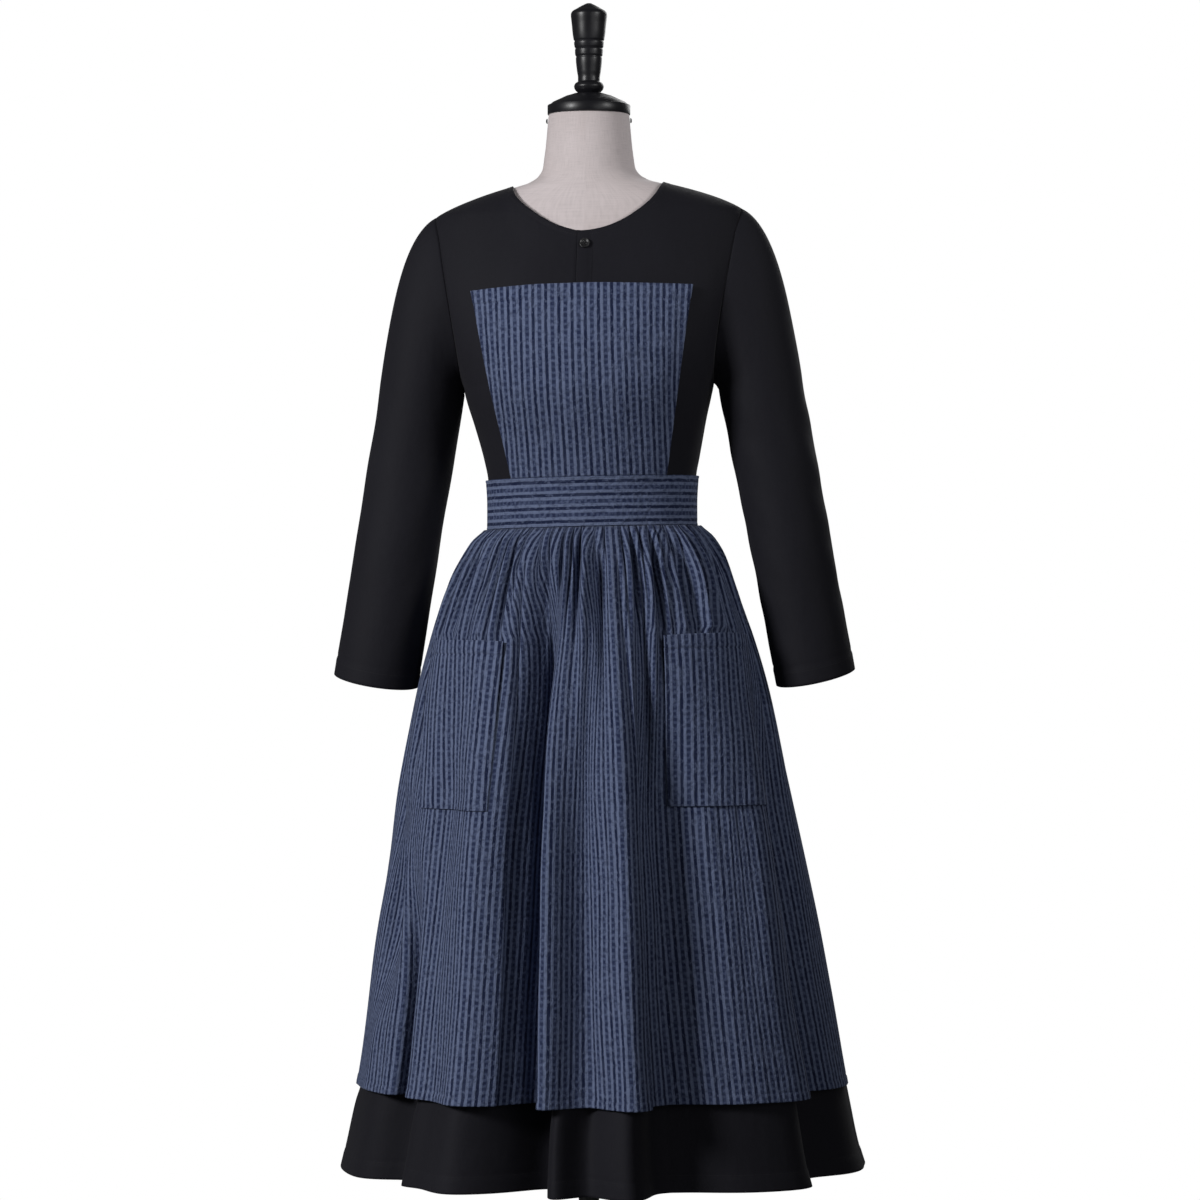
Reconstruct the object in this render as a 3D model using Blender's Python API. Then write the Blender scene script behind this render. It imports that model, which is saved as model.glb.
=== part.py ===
"""Long-sleeved maid dress under a striped pinafore apron, worn by a limbless dress form on a round stand.

Metres, +Z up. The origin is on the floor under the pole, the front faces -Y and the wearer's left is +X.
Every cloth panel is a thin wall whose outer and inner points come from the same few surface functions:
bodice_point() for the bodice and the bib, skirt_ring() for both skirts and rings of points for the sleeves.
"""

import math
from collections import namedtuple

import bmesh
import bpy
from mathutils import Vector

# Cloth
DRESS_WALL = 0.0013
APRON_WALL = 0.0012
SEAM_GAP = 0.0003
NORMAL_STEP = 0.0015

# Heights above the floor
DRESS_HEM = 0.243
APRON_HEM = 0.345
BAND_BOTTOM = 1.018
DRESS_WAIST = 1.046
BAND_TOP = 1.078
ARMPIT = 1.190
SHOULDER_TIP = 1.402
NECK_POINT = 1.436

# Bodice
SHOULDER_TIP_HALF = 0.186
NECK_HALF = 0.0925
NECKLINE_SLOPE = 0.80
NECKLINE_CORNER_POWER = 16
SHOULDER_FULLNESS = 0.0100
WAIST_SHIFT = 0.0040
FRONT_NECK_DROP = 0.0622
BACK_NECK_DROP = 0.0120
ARMHOLE_HALF_FRONT = 0.054
ARMHOLE_HALF_BACK = 0.052
ARMHOLE_LOW_FULLNESS = 0.18
BUST_LIFT = 0.004
BUST_HEIGHT = 1.195
BUST_BELOW = 0.050
BUST_ABOVE = 0.060
BUST_ANGLE = 0.62
BUST_SPREAD = 0.30
DRESS_TILT = 0.022
BODICE_COLUMNS = 16
ROWS_TO_ARMPIT = 4
ROWS_ALONG_ARMHOLE = 8
ROWS_ALONG_SHOULDER = 2

# Apron
BIB_TOP = 1.3070
BIB_TOP_TILT = -0.022
BIB_TOP_DROOP = 0.0061
BIB_TOP_DROOP_POWER = 1.6
BIB_TOP_HALF = 0.1318
BIB_TOP_SHIFT = -0.0022
BIB_BOTTOM_HALF = 0.0915
BIB_BOTTOM_SHIFT = 0.0055
BIB_STAND_OFF = 0.0020
BAND_STAND_OFF = 0.0013
BAND_WALL = 0.0018
BAND_LAP = math.radians(8)
BAND_COLUMNS = 48
APRON_COLUMNS = 96
APRON_ROW_SHARES = (0.0, 0.022, 0.06, 0.13, 0.23, 0.36, 0.52, 0.70, 0.86, 1.0)
GATHERS = 24
POCKET_WALL = 0.0012

# Dress skirt under the apron
SKIRT_FRONT_COLUMNS = 40
SKIRT_BACK_COLUMNS = 32
SKIRT_ROW_SHARES = (0.0, 0.03, 0.09, 0.20, 0.36, 0.58, 0.80, 1.0)
UNDER_VALLEY_SCALE = 1.20
UNDER_RIDGE_SCALE = 0.60
UNDER_WIDTH_SCALE = 1.15

# Dress form and stand
FORM_BOTTOM = 0.800
NECK_TOP = 1.5210
CAP_RIM_HEIGHT = 0.0109
CAP_RADIUS = 0.0505
CAP_PEAK = 1.5470
POLE_RADIUS = 0.0125
SCREW_BELOW_CAP = 0.0070
SCREW_CLEARANCE = 0.0008
BASE_RADIUS = 0.190
BASE_THICKNESS = 0.012
BASE_CROWN = 0.004
BASE_CROWN_RADIUS = 0.030
COLLAR_RADIUS = 0.022
COLLAR_HEIGHT = 0.045
TURNED_SIDES = 16

# Bodice outline and depths. half_width is the side seam's or armhole's distance from the centre plane.
BodyLevel = namedtuple("BodyLevel", "height half_width front back")
BODICE_LEVELS = (
    BodyLevel(1.000, 0.1255, 0.0970, 0.0890),
    BodyLevel(1.046, 0.1255, 0.0980, 0.0900),
    BodyLevel(1.078, 0.1270, 0.1020, 0.0920),
    BodyLevel(1.100, 0.1310, 0.1080, 0.0950),
    BodyLevel(1.125, 0.1365, 0.1160, 0.0990),
    BodyLevel(1.150, 0.1425, 0.1255, 0.1030),
    BodyLevel(1.172, 0.1485, 0.1330, 0.1065),
    BodyLevel(1.190, 0.1525, 0.1365, 0.1090),
    BodyLevel(1.220, 0.1555, 0.1365, 0.1120),
    BodyLevel(1.260, 0.1610, 0.1280, 0.1140),
    BodyLevel(1.300, 0.1675, 0.1130, 0.1130),
    BodyLevel(1.340, 0.1745, 0.0960, 0.1060),
    BodyLevel(1.372, 0.1800, 0.0830, 0.0960),
    BodyLevel(1.402, 0.1860, 0.0710, 0.0800),
    BodyLevel(1.420, 0.1860, 0.0640, 0.0690),
    BodyLevel(1.436, 0.1860, 0.0580, 0.0600),
)

# Apron skirt outline. left and right are measured from the pole's plane, front and back from its centre.
SkirtLevel = namedtuple("SkirtLevel", "height left right front back")
SKIRT_LEVELS = (
    SkirtLevel(0.243, 0.3070, 0.3395, 0.3160, 0.3080),
    SkirtLevel(0.271, 0.3005, 0.3310, 0.3120, 0.3040),
    SkirtLevel(0.320, 0.2900, 0.3210, 0.3040, 0.2960),
    SkirtLevel(0.345, 0.2825, 0.3160, 0.3000, 0.2920),
    SkirtLevel(0.442, 0.2685, 0.2970, 0.2830, 0.2760),
    SkirtLevel(0.564, 0.2520, 0.2740, 0.2600, 0.2560),
    SkirtLevel(0.710, 0.2290, 0.2445, 0.2280, 0.2280),
    SkirtLevel(0.808, 0.2098, 0.2215, 0.2020, 0.2040),
    SkirtLevel(0.881, 0.1895, 0.1990, 0.1780, 0.1820),
    SkirtLevel(0.930, 0.1722, 0.1795, 0.1580, 0.1640),
    SkirtLevel(0.954, 0.1622, 0.1690, 0.1470, 0.1520),
    SkirtLevel(0.979, 0.1528, 0.1590, 0.1330, 0.1370),
    SkirtLevel(1.003, 0.1405, 0.1455, 0.1160, 0.1160),
    SkirtLevel(1.018, 0.1265, 0.1335, 0.1022, 0.0940),
)

# Folds of the skirts. at is the fold's place across the apron in degrees at the waist, before and after are
# its half widths there, and depth is how far it moves the cloth out. It grows from start to full and, for a
# short fold, is gone again at end, all as shares of the way from the waistband to the apron's hem.
Fold = namedtuple("Fold", "at before after depth start full end")
LONG_FOLDS = (
    Fold(-80.0, 5.0, 4.0, -0.018, 0.28, 0.45, 0.70),
    Fold(-72.0, 5.0, 5.0, -0.020, 0.42, 0.66, 0.92),
    Fold(-59.0, 5.0, 4.5, -0.030, 0.62, 0.95, 9.0),
    Fold(-45.5, 4.5, 4.5, -0.012, 0.25, 0.60, 9.0),
    Fold(-36.0, 5.0, 5.0, 0.014, 0.20, 0.80, 9.0),
    Fold(-12.0, 9.0, 3.2, -0.047, 0.00, 0.45, 9.0),
    Fold(-6.0, 2.2, 3.0, 0.012, 0.10, 0.60, 9.0),
    Fold(1.0, 6.0, 5.0, -0.018, 0.10, 0.60, 9.0),
    Fold(13.0, 3.8, 3.2, 0.016, 0.10, 0.70, 9.0),
    Fold(21.5, 3.5, 4.0, -0.018, 0.00, 0.50, 9.0),
    Fold(30.0, 7.0, 16.0, -0.040, 0.05, 0.60, 9.0),
    Fold(66.0, 8.0, 4.0, 0.012, 0.20, 0.60, 9.0),
    Fold(77.0, 6.5, 7.0, -0.034, 0.18, 0.55, 9.0),
)
SHORT_FOLDS = (
    Fold(-60.0, 3.0, 2.6, -0.012, 0.00, 0.14, 0.36),
    Fold(-35.0, 2.4, 2.2, -0.012, 0.00, 0.14, 0.34),
    Fold(-17.5, 2.6, 2.2, -0.012, 0.00, 0.12, 0.34),
    Fold(-2.0, 2.0, 2.0, -0.009, 0.00, 0.10, 0.40),
    Fold(8.5, 2.2, 2.2, -0.011, 0.00, 0.12, 0.36),
    Fold(24.0, 2.4, 2.4, -0.010, 0.00, 0.10, 0.30),
    Fold(33.5, 2.4, 2.4, -0.010, 0.00, 0.12, 0.30),
    Fold(48.0, 2.6, 2.4, -0.012, 0.00, 0.12, 0.30),
)
BACK_FOLDS = (
    Fold(-74.0, 6.0, 7.0, -0.016, 0.10, 0.80, 9.0),
    Fold(-55.0, 7.0, 6.0, 0.012, 0.15, 0.85, 9.0),
    Fold(-38.0, 6.0, 7.0, -0.024, 0.10, 0.80, 9.0),
    Fold(-14.0, 7.0, 6.0, 0.012, 0.15, 0.85, 9.0),
    Fold(4.0, 6.0, 7.0, -0.026, 0.10, 0.80, 9.0),
    Fold(26.0, 7.0, 6.0, 0.014, 0.15, 0.85, 9.0),
    Fold(45.0, 6.0, 7.0, -0.022, 0.10, 0.80, 9.0),
    Fold(60.0, 6.0, 6.0, -0.006, 0.15, 0.85, 9.0),
    Fold(78.0, 7.0, 6.0, 0.006, 0.02, 0.20, 0.55),
)
EDGE_CALM = 7.0
DRIFT_LEFT = 0.12
DRIFT_RIGHT = 0.22

# How far the apron's gathers swing and how far the dress skirt lies inside it, by share of the way down
GatherLevel = namedtuple("GatherLevel", "share swing inset")
GATHER_LEVELS = (
    GatherLevel(-0.100, 0.0000, 0.0000),
    GatherLevel(0.000, 0.0003, 0.0054),
    GatherLevel(0.022, 0.0016, 0.0075),
    GatherLevel(0.060, 0.0024, 0.0100),
    GatherLevel(0.150, 0.0018, 0.0110),
    GatherLevel(0.300, 0.0008, 0.0110),
    GatherLevel(0.500, 0.0000, 0.0090),
    GatherLevel(1.000, 0.0000, 0.0060),
    GatherLevel(1.200, 0.0000, 0.0050),
)

# Sleeves, measured in the front view from the pole's plane
Sleeve = namedtuple(
    "Sleeve", "name side outer_x outer_z inner_x inner_z cuff_outer_x cuff_outer_z cuff_inner_x cuff_inner_z"
)
SLEEVES = (
    Sleeve("sleeve_left", 1, 0.2595, 1.2060, 0.1575, 1.1850, 0.3235, 0.8470, 0.2290, 0.8275),
    Sleeve("sleeve_right", -1, 0.2560, 1.1960, 0.1520, 1.1800, 0.3105, 0.8410, 0.2085, 0.8240),
)
SLEEVE_LEAVE_OUT = 0.90
SLEEVE_LEAVE_DOWN = 0.43
SLEEVE_CAP_PULL = 0.70
SLEEVE_DROP_PULL = 1.00
SLEEVE_HALF_DEPTH_TOP = 0.056
SLEEVE_HALF_DEPTH_CUFF = 0.050
SLEEVE_CAP_RINGS = 5
SLEEVE_ARM_RINGS = 7
SLEEVE_FORWARD = 0.012
SLEEVE_FRONT_DROP = 0.008
SLEEVE_SEAM_GAP = 0.0005

# Pockets: where their edges cross the apron's columns at the mouth and at the bottom seam, and those heights
Pocket = namedtuple("Pocket", "name mouth_first mouth_last bottom_first bottom_last mouth bottom")
POCKETS = (
    Pocket("pocket_left", 65.5, 88.8, 66.2, 84.6, 0.8870, 0.6875),
    Pocket("pocket_right", 10.0, 31.7, 16.5, 31.4, 0.8790, 0.6825),
)
POCKET_COLUMNS = 22
POCKET_MOUTH_GAPE = 0.0052
POCKET_LIFT = 0.0010

# Placket and buttons
PLACKET_LEFT = -0.0070
PLACKET_RIGHT = 0.0115
PLACKET_BOTTOM = 1.2850
PLACKET_LIFT = 0.0004
PLACKET_WALL = 0.0008
BUTTON_X = 0.0018
BUTTON_Z = 1.3565
BUTTON_RADIUS = 0.0063
BUTTON_THICKNESS = 0.0024
BUTTON_CLEARANCE = 0.0007
BAND_BUTTON_HEIGHTS = (1.0335, 1.0625)
BAND_BUTTON_RADIUS = 0.0075

# Dress form, half widths and depths of its level sections
FormLevel = namedtuple("FormLevel", "height half_width front back")
FORM_LEVELS = (
    FormLevel(0.800, 0.1500, 0.1000, 0.1080),
    FormLevel(0.812, 0.1560, 0.1060, 0.1140),
    FormLevel(0.850, 0.1600, 0.1100, 0.1200),
    FormLevel(0.900, 0.1540, 0.1080, 0.1160),
    FormLevel(0.960, 0.1340, 0.1000, 0.1000),
    FormLevel(1.010, 0.1165, 0.0920, 0.0840),
    FormLevel(1.050, 0.1165, 0.0910, 0.0830),
    FormLevel(1.100, 0.1225, 0.0990, 0.0880),
    FormLevel(1.150, 0.1350, 0.1150, 0.0960),
    FormLevel(1.190, 0.1430, 0.1270, 0.1020),
    FormLevel(1.230, 0.1450, 0.1260, 0.1060),
    FormLevel(1.280, 0.1490, 0.1120, 0.1070),
    FormLevel(1.330, 0.1560, 0.0920, 0.1010),
    FormLevel(1.3700, 0.1660, 0.0770, 0.0890),
    FormLevel(1.3900, 0.1710, 0.0690, 0.0800),
    FormLevel(1.4010, 0.1715, 0.0645, 0.0735),
    FormLevel(1.4090, 0.1640, 0.0610, 0.0685),
    FormLevel(1.4190, 0.1380, 0.0570, 0.0625),
    FormLevel(1.4280, 0.1102, 0.0545, 0.0582),
    FormLevel(1.4345, 0.0906, 0.0540, 0.0566),
    FormLevel(1.4390, 0.0750, 0.0526, 0.0546),
    FormLevel(1.4470, 0.0620, 0.0512, 0.0530),
    FormLevel(1.4560, 0.0565, 0.0503, 0.0518),
    FormLevel(1.4800, 0.0530, 0.0490, 0.0503),
    FormLevel(NECK_TOP, 0.0492, 0.0475, 0.0485),
)
FORM_COLUMNS = 24
FORM_TILT_ENDS = (1.44, 1.48)

# The turned handle: radius at each height above the cap's peak, as it tapers down to the cap
Turning = namedtuple("Turning", "height radius")
HANDLE_TURNINGS = (
    Turning(0.0000, 0.0125),
    Turning(0.0025, 0.0150),
    Turning(0.0050, 0.0171),
    Turning(0.0086, 0.0182),
    Turning(0.0122, 0.0168),
    Turning(0.0150, 0.0134),
    Turning(0.0196, 0.0134),
    Turning(0.0270, 0.0145),
    Turning(0.0430, 0.0160),
    Turning(0.0450, 0.0155),
    Turning(0.0470, 0.0167),
    Turning(0.0532, 0.0171),
    Turning(0.0550, 0.0164),
    Turning(0.0568, 0.0175),
    Turning(0.0622, 0.0182),
    Turning(0.0640, 0.0175),
    Turning(0.0658, 0.0187),
    Turning(0.0855, 0.0211),
    Turning(0.0964, 0.0221),
    Turning(0.0998, 0.0208),
    Turning(0.1035, 0.0150),
    Turning(0.1070, 0.0090),
    Turning(0.1100, 0.0030),
)


def finish_paint(name, colour, roughness, metallic=0.0):
    """A plain material of one colour."""
    paint = bpy.data.materials.new(name)
    paint.use_nodes = True
    shader = paint.node_tree.nodes["Principled BSDF"]
    shader.inputs["Base Color"].default_value = (*colour, 1.0)
    shader.inputs["Roughness"].default_value = roughness
    shader.inputs["Metallic"].default_value = metallic
    return paint


def reading(levels, height, column):
    """One column of a table at any height, on a monotone curve through its rows."""
    xs = [row[0] for row in levels]
    ys = [getattr(row, column) for row in levels]
    height = min(max(height, xs[0]), xs[-1])
    i = max(k for k in range(len(xs) - 1) if xs[k] <= height or k == 0)
    slopes = [(ys[k + 1] - ys[k]) / (xs[k + 1] - xs[k]) for k in range(len(xs) - 1)]

    def tangent(k):
        if k == 0 or k == len(xs) - 1:
            return slopes[min(k, len(slopes) - 1)]
        below, above = slopes[k - 1], slopes[k]
        return 0.0 if below * above <= 0 else 2 * below * above / (below + above)

    step = xs[i + 1] - xs[i]
    s = (height - xs[i]) / step
    return (
        ys[i] * (1 - 3 * s**2 + 2 * s**3)
        + step * tangent(i) * (s - 2 * s**2 + s**3)
        + ys[i + 1] * (3 * s**2 - 2 * s**3)
        + step * tangent(i + 1) * (s**3 - s**2)
    )


def eased(value, low, high):
    """0 below low and 1 above high, with a soft start and end."""
    s = min(max((value - low) / (high - low), 0.0), 1.0)
    return s * s * (3 - 2 * s)


def bump(distance, before, after):
    """A rounded hump of height 1 at distance 0, with its own width on each side."""
    width = before if distance < 0 else after
    return math.exp(-((distance / width) ** 2))


# Bodice surface


def edge_half_width(height):
    """Distance of the side seam, armhole or shoulder seam from the centre plane."""
    if height <= SHOULDER_TIP:
        return reading(BODICE_LEVELS, height, "half_width")
    share = (height - SHOULDER_TIP) / (NECK_POINT - SHOULDER_TIP)
    straight = SHOULDER_TIP_HALF + share * (NECK_HALF - SHOULDER_TIP_HALF)
    return straight + 4 * SHOULDER_FULLNESS * share * (1 - share)


def armhole_half(height, half):
    """How far the armhole's edge lies in front of or behind the side seam's line."""
    s = (height - ARMPIT) / (SHOULDER_TIP - ARMPIT)
    if s <= 0 or s >= 1:
        return 0.0
    return 2 * half * math.sqrt(s * (1 - s)) * (1 + ARMHOLE_LOW_FULLNESS * (1 - 2 * s))


def bodice_point(face, across, height):
    """A point of the dress's outer surface. face is -1 for the front and 1 for the back, across runs from -1
    to 1 between the panel's two edges."""
    depth = reading(BODICE_LEVELS, height, "front" if face < 0 else "back")
    edge_x = edge_half_width(height)
    edge_y = armhole_half(height, ARMHOLE_HALF_FRONT if face < 0 else ARMHOLE_HALF_BACK)
    full_x = edge_x / math.sqrt(1 - (edge_y / depth) ** 2)
    edge_angle = math.atan2(edge_x / full_x, edge_y / depth)
    angle = across * edge_angle
    lift = 0.0
    if face < 0:
        sides = bump(abs(angle) - BUST_ANGLE, BUST_SPREAD, BUST_SPREAD)
        sides += bump(abs(angle) + BUST_ANGLE, BUST_SPREAD, BUST_SPREAD)
        lift = BUST_LIFT * bump(height - BUST_HEIGHT, BUST_BELOW, BUST_ABOVE) * sides
    x = (full_x + lift) * math.sin(angle) + waist_shift(height)
    y = face * (depth + lift) * math.cos(angle)
    return Vector((x, y, height + dress_tilt(x, height)))


def waist_shift(height):
    """The waist lies a little towards the wearer's left of the pole."""
    return WAIST_SHIFT * (1 - eased(height, 1.09, ARMPIT))


def dress_tilt(x, height):
    """The dress hangs a little higher on the wearer's left, from the shoulders down to below the waist."""
    return DRESS_TILT * x * eased(height, 0.90, 1.00)


def bodice_across(face, x, height):
    """The across value at which the bodice surface has this x."""
    low, high = -1.0, 1.0
    for _ in range(40):
        middle = (low + high) / 2
        if bodice_point(face, middle, height).x < x:
            low = middle
        else:
            high = middle
    return (low + high) / 2


def bodice_normal(face, across, height):
    """Outward normal of the bodice surface."""
    step_a, step_h = 0.004, NORMAL_STEP
    left = bodice_point(face, across - step_a, height)
    right = bodice_point(face, across + step_a, height)
    down = bodice_point(face, across, height - step_h)
    up = bodice_point(face, across, min(height + step_h, NECK_POINT))
    normal = (right - left).cross(up - down).normalized()
    return normal if face < 0 else -normal


def on_bodice(face, across, height, lift):
    """A point lifted off the bodice surface along its normal."""
    return bodice_point(face, across, height) + bodice_normal(face, across, height) * lift


def neckline_height(face, x):
    """Height of the neckline at a distance x from the centre: shallow in front, a soft curve behind."""
    s = abs(x) / NECK_HALF
    if face < 0:
        rise = NECKLINE_SLOPE * s**2 + (1 - NECKLINE_SLOPE) * s**NECKLINE_CORNER_POWER
        return NECK_POINT - FRONT_NECK_DROP * (1 - rise)
    return NECK_POINT - BACK_NECK_DROP * (1 - s**2)


def panel_top(face, across):
    """Height at which a column of the bodice meets the neckline."""
    low, high = 1.34, NECK_POINT
    for _ in range(40):
        middle = (low + high) / 2
        if middle < neckline_height(face, bodice_point(face, across, middle).x):
            low = middle
        else:
            high = middle
    return (low + high) / 2


def edge_heights():
    """Heights of the rows at a bodice panel's edge: side seam, armhole and shoulder seam."""
    side = [DRESS_WAIST + (ARMPIT - DRESS_WAIST) * k / ROWS_TO_ARMPIT for k in range(ROWS_TO_ARMPIT)]
    arm = [
        ARMPIT + (SHOULDER_TIP - ARMPIT) * (1 - math.cos(math.pi * k / ROWS_ALONG_ARMHOLE)) / 2
        for k in range(ROWS_ALONG_ARMHOLE)
    ]
    shoulder = [
        SHOULDER_TIP + (NECK_POINT - SHOULDER_TIP) * k / ROWS_ALONG_SHOULDER
        for k in range(ROWS_ALONG_SHOULDER + 1)
    ]
    return side + arm + shoulder


def bodice_height(face, across, row):
    """Height of a panel's row at a column. Rows are level up to the armpit, then fan out to the neckline."""
    heights = edge_heights()
    if row <= ROWS_TO_ARMPIT:
        return heights[row]
    top = panel_top(face, across)
    above = len(heights) - 1 - ROWS_TO_ARMPIT
    even = (row - ROWS_TO_ARMPIT) / above
    at_edge = (heights[row] - ARMPIT) / (NECK_POINT - ARMPIT)
    share = even + (at_edge - even) * abs(across) ** 4
    return ARMPIT + share * (top - ARMPIT)


# Skirt surface


def share_down(height):
    """Share of the way from the waistband to the apron's hem, over 1 below that hem."""
    return (BAND_BOTTOM - height) / (BAND_BOTTOM - APRON_HEM)


def fold_out(folds, across_degrees, share, under=False):
    """How far these folds move the cloth out at a place across and down the skirt. The cloth under the apron
    follows its folds more widely, deeper in the valleys and lower on the ridges."""
    out = 0.0
    for fold in folds:
        strength = eased(share, fold.start, fold.full) if share < 1 else 1.0
        if fold.end < 1:
            strength *= 1 - eased(share, fold.full, fold.end)
        wide = UNDER_WIDTH_SCALE if under else 1.0
        if under:
            strength *= UNDER_VALLEY_SCALE if fold.depth < 0 else UNDER_RIDGE_SCALE
        hump = bump(across_degrees - fold.at, fold.before * wide, fold.after * wide)
        out += fold.depth * strength * hump
    calm = 1 - bump(90 - abs(across_degrees), EDGE_CALM, EDGE_CALM)
    return out * calm


def gather_out(across, share, count):
    """The gathers' ripple, even at the band and dying out down the skirt."""
    wander = 0.25 * math.sin(5 * math.pi * across + 1.0)
    swing = reading(GATHER_LEVELS, share, "swing")
    return -swing * math.cos(2 * math.pi * (count / 2) * (across + 1) + wander)


def skirt_angle(across, share):
    """Angle round the skirt, from the front, of a thread that starts at across (-1 to 1) of the half."""
    drift = DRIFT_LEFT if across < 0 else DRIFT_RIGHT
    settled = 1 - (1 - min(max(share, 0.0), 1.0)) ** 2
    return across * math.pi / 2 * (1 - drift * settled * (1 - abs(across) ** 6))


def skirt_ring(angle, height, out):
    """A point at this angle and height, moved out from the skirt's smooth outline."""
    left = reading(SKIRT_LEVELS, height, "left")
    right = reading(SKIRT_LEVELS, height, "right")
    depth = reading(SKIRT_LEVELS, height, "front" if abs(angle) <= math.pi / 2 else "back")
    centre_x = (right - left) / 2
    half = (right + left) / 2
    spoke = Vector((half * math.sin(angle), -depth * math.cos(angle), 0))
    point = Vector((centre_x, 0, height)) + spoke * (1 + out / spoke.length)
    return point + Vector((0, 0, dress_tilt(point.x, height)))


def apron_point(across, height, gathered=True):
    """Outer surface of the apron skirt. The pockets lie on it without its gathers and short folds."""
    share = share_down(height)
    degrees = across * 90
    out = fold_out(LONG_FOLDS, degrees, share)
    if gathered:
        out += fold_out(SHORT_FOLDS, degrees, share) + gather_out(across, share, GATHERS)
    return skirt_ring(skirt_angle(across, share), height, out)


def dress_skirt_point(face, across, height):
    """Outer surface of the dress skirt, inside the apron in front and with folds of its own behind."""
    share = share_down(height)
    degrees = across * 90
    inset = reading(GATHER_LEVELS, share, "inset")
    side = math.pi / 2
    if face < 0:
        out = fold_out(LONG_FOLDS, degrees, share, under=True)
        out += fold_out(SHORT_FOLDS, degrees, share, under=True)
        angle = skirt_angle(across, share)
    else:
        out = fold_out(BACK_FOLDS, degrees, share) + 0.6 * gather_out(across, share, GATHERS / 2)
        out += inset * eased(share, 0.02, 0.12) * (1 - bump(90 - abs(degrees), EDGE_CALM, EDGE_CALM))
        angle = 2 * side - across * side
        angle = angle if angle <= math.pi else angle - 2 * math.pi
    if height > BAND_BOTTOM:
        blend = (height - BAND_BOTTOM) / (DRESS_WAIST - BAND_BOTTOM)
        below = skirt_ring(angle, BAND_BOTTOM, -inset)
        above = bodice_point(face, across, DRESS_WAIST)
        return below.lerp(above, blend)
    return skirt_ring(angle, height, out - inset)


def surface_normal(place, across, height, low, high):
    """Outward normal of a surface given by place(across, height), kept between the heights low and high."""
    step_a = 0.003
    before = place(max(across - step_a, -1.0), height)
    after = place(min(across + step_a, 1.0), height)
    down = place(across, max(height - NORMAL_STEP, low))
    up = place(across, min(height + NORMAL_STEP, high))
    normal = (after - before).cross(up - down).normalized()
    outward = Vector((place(across, height).x, place(across, height).y, 0))
    return normal if normal.dot(outward) > 0 else -normal


# Meshes


def add_object(name, mesh_builder, paint):
    """Links a bmesh as a named object with its material."""
    bmesh.ops.recalc_face_normals(mesh_builder, faces=mesh_builder.faces)
    mesh = bpy.data.meshes.new(name)
    mesh_builder.to_mesh(mesh)
    mesh_builder.free()
    mesh.shade_smooth()
    mesh.set_sharp_from_angle(angle=math.radians(40))
    mesh.materials.append(paint)
    thing = bpy.data.objects.new(name, mesh)
    bpy.context.scene.collection.objects.link(thing)
    return thing


def wall(name, columns, rows, place, paint, closed=False):
    """A cloth panel: a grid whose copy becomes the inner face. place(column, row) gives the outer and inner
    points. A closed panel joins its last column to its first."""
    builder = bmesh.new()
    bmesh.ops.create_grid(builder, x_segments=columns, y_segments=rows, size=1.0)
    ident = builder.verts.layers.int.new("grid")
    for vert in builder.verts:
        column = round((vert.co.x + 1) / 2 * columns)
        row = round((vert.co.y + 1) / 2 * rows)
        vert[ident] = row * (columns + 1) + column
    points = {}
    for vert in builder.verts:
        row, column = divmod(vert[ident], columns + 1)
        if closed and column == columns:
            column = 0
        points[vert[ident]] = place(column, row)
        vert.co = points[vert[ident]][0]
    if closed:
        bmesh.ops.remove_doubles(builder, verts=builder.verts, dist=1e-7)
    bmesh.ops.triangulate(builder, faces=builder.faces[:], quad_method="SHORT_EDGE")
    copied = bmesh.ops.extrude_face_region(builder, geom=builder.faces[:], use_keep_orig=True)
    for item in copied["geom"]:
        if isinstance(item, bmesh.types.BMVert):
            item.co = points[item[ident]][1]
    return add_object(name, builder, paint)


def turned(name, profile, centre, paint, sides=TURNED_SIDES):
    """A solid of revolution about a vertical axis. profile lists (radius, height) from bottom to top."""
    builder = bmesh.new()
    corners = [(0.0, profile[0][1]), *profile, (0.0, profile[-1][1])]
    verts = [builder.verts.new((radius, 0, height)) for radius, height in corners]
    edges = [builder.edges.new(pair) for pair in zip(verts, verts[1:])]
    bmesh.ops.spin(
        builder,
        geom=verts + edges,
        cent=(0, 0, 0),
        axis=(0, 0, 1),
        angle=2 * math.pi,
        steps=sides,
        use_merge=True,
    )
    bmesh.ops.remove_doubles(builder, verts=builder.verts, dist=1e-6)
    bmesh.ops.translate(builder, verts=builder.verts, vec=centre)
    return add_object(name, builder, paint)


# Dress


def build_bodice(paint):
    """Front and back panels, each from the waist seam to the neckline."""
    rows = len(edge_heights()) - 1
    for name, face in (("bodice_front", -1), ("bodice_back", 1)):
        shift = Vector((0, face * SEAM_GAP / 2, 0))

        def place(column, row, face=face, shift=shift):
            across = -1 + 2 * column / BODICE_COLUMNS
            height = bodice_height(face, across, row) + (SEAM_GAP if row == 0 else 0)
            outer = bodice_point(face, across, height) + shift
            normal = bodice_normal(face, across, height)
            if abs(across) == 1:
                normal = seam_normal(face, across, height)
            return outer, outer - normal * DRESS_WALL

        wall(name, BODICE_COLUMNS, rows, place, paint)


def seam_normal(face, across, height):
    """Normal at a panel's edge. On the side and shoulder seams front and back share it."""
    normal = bodice_normal(face, across * 0.996, height)
    if ARMPIT < height < SHOULDER_TIP:
        return normal
    return Vector((normal.x, 0, normal.z)).normalized()


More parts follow.
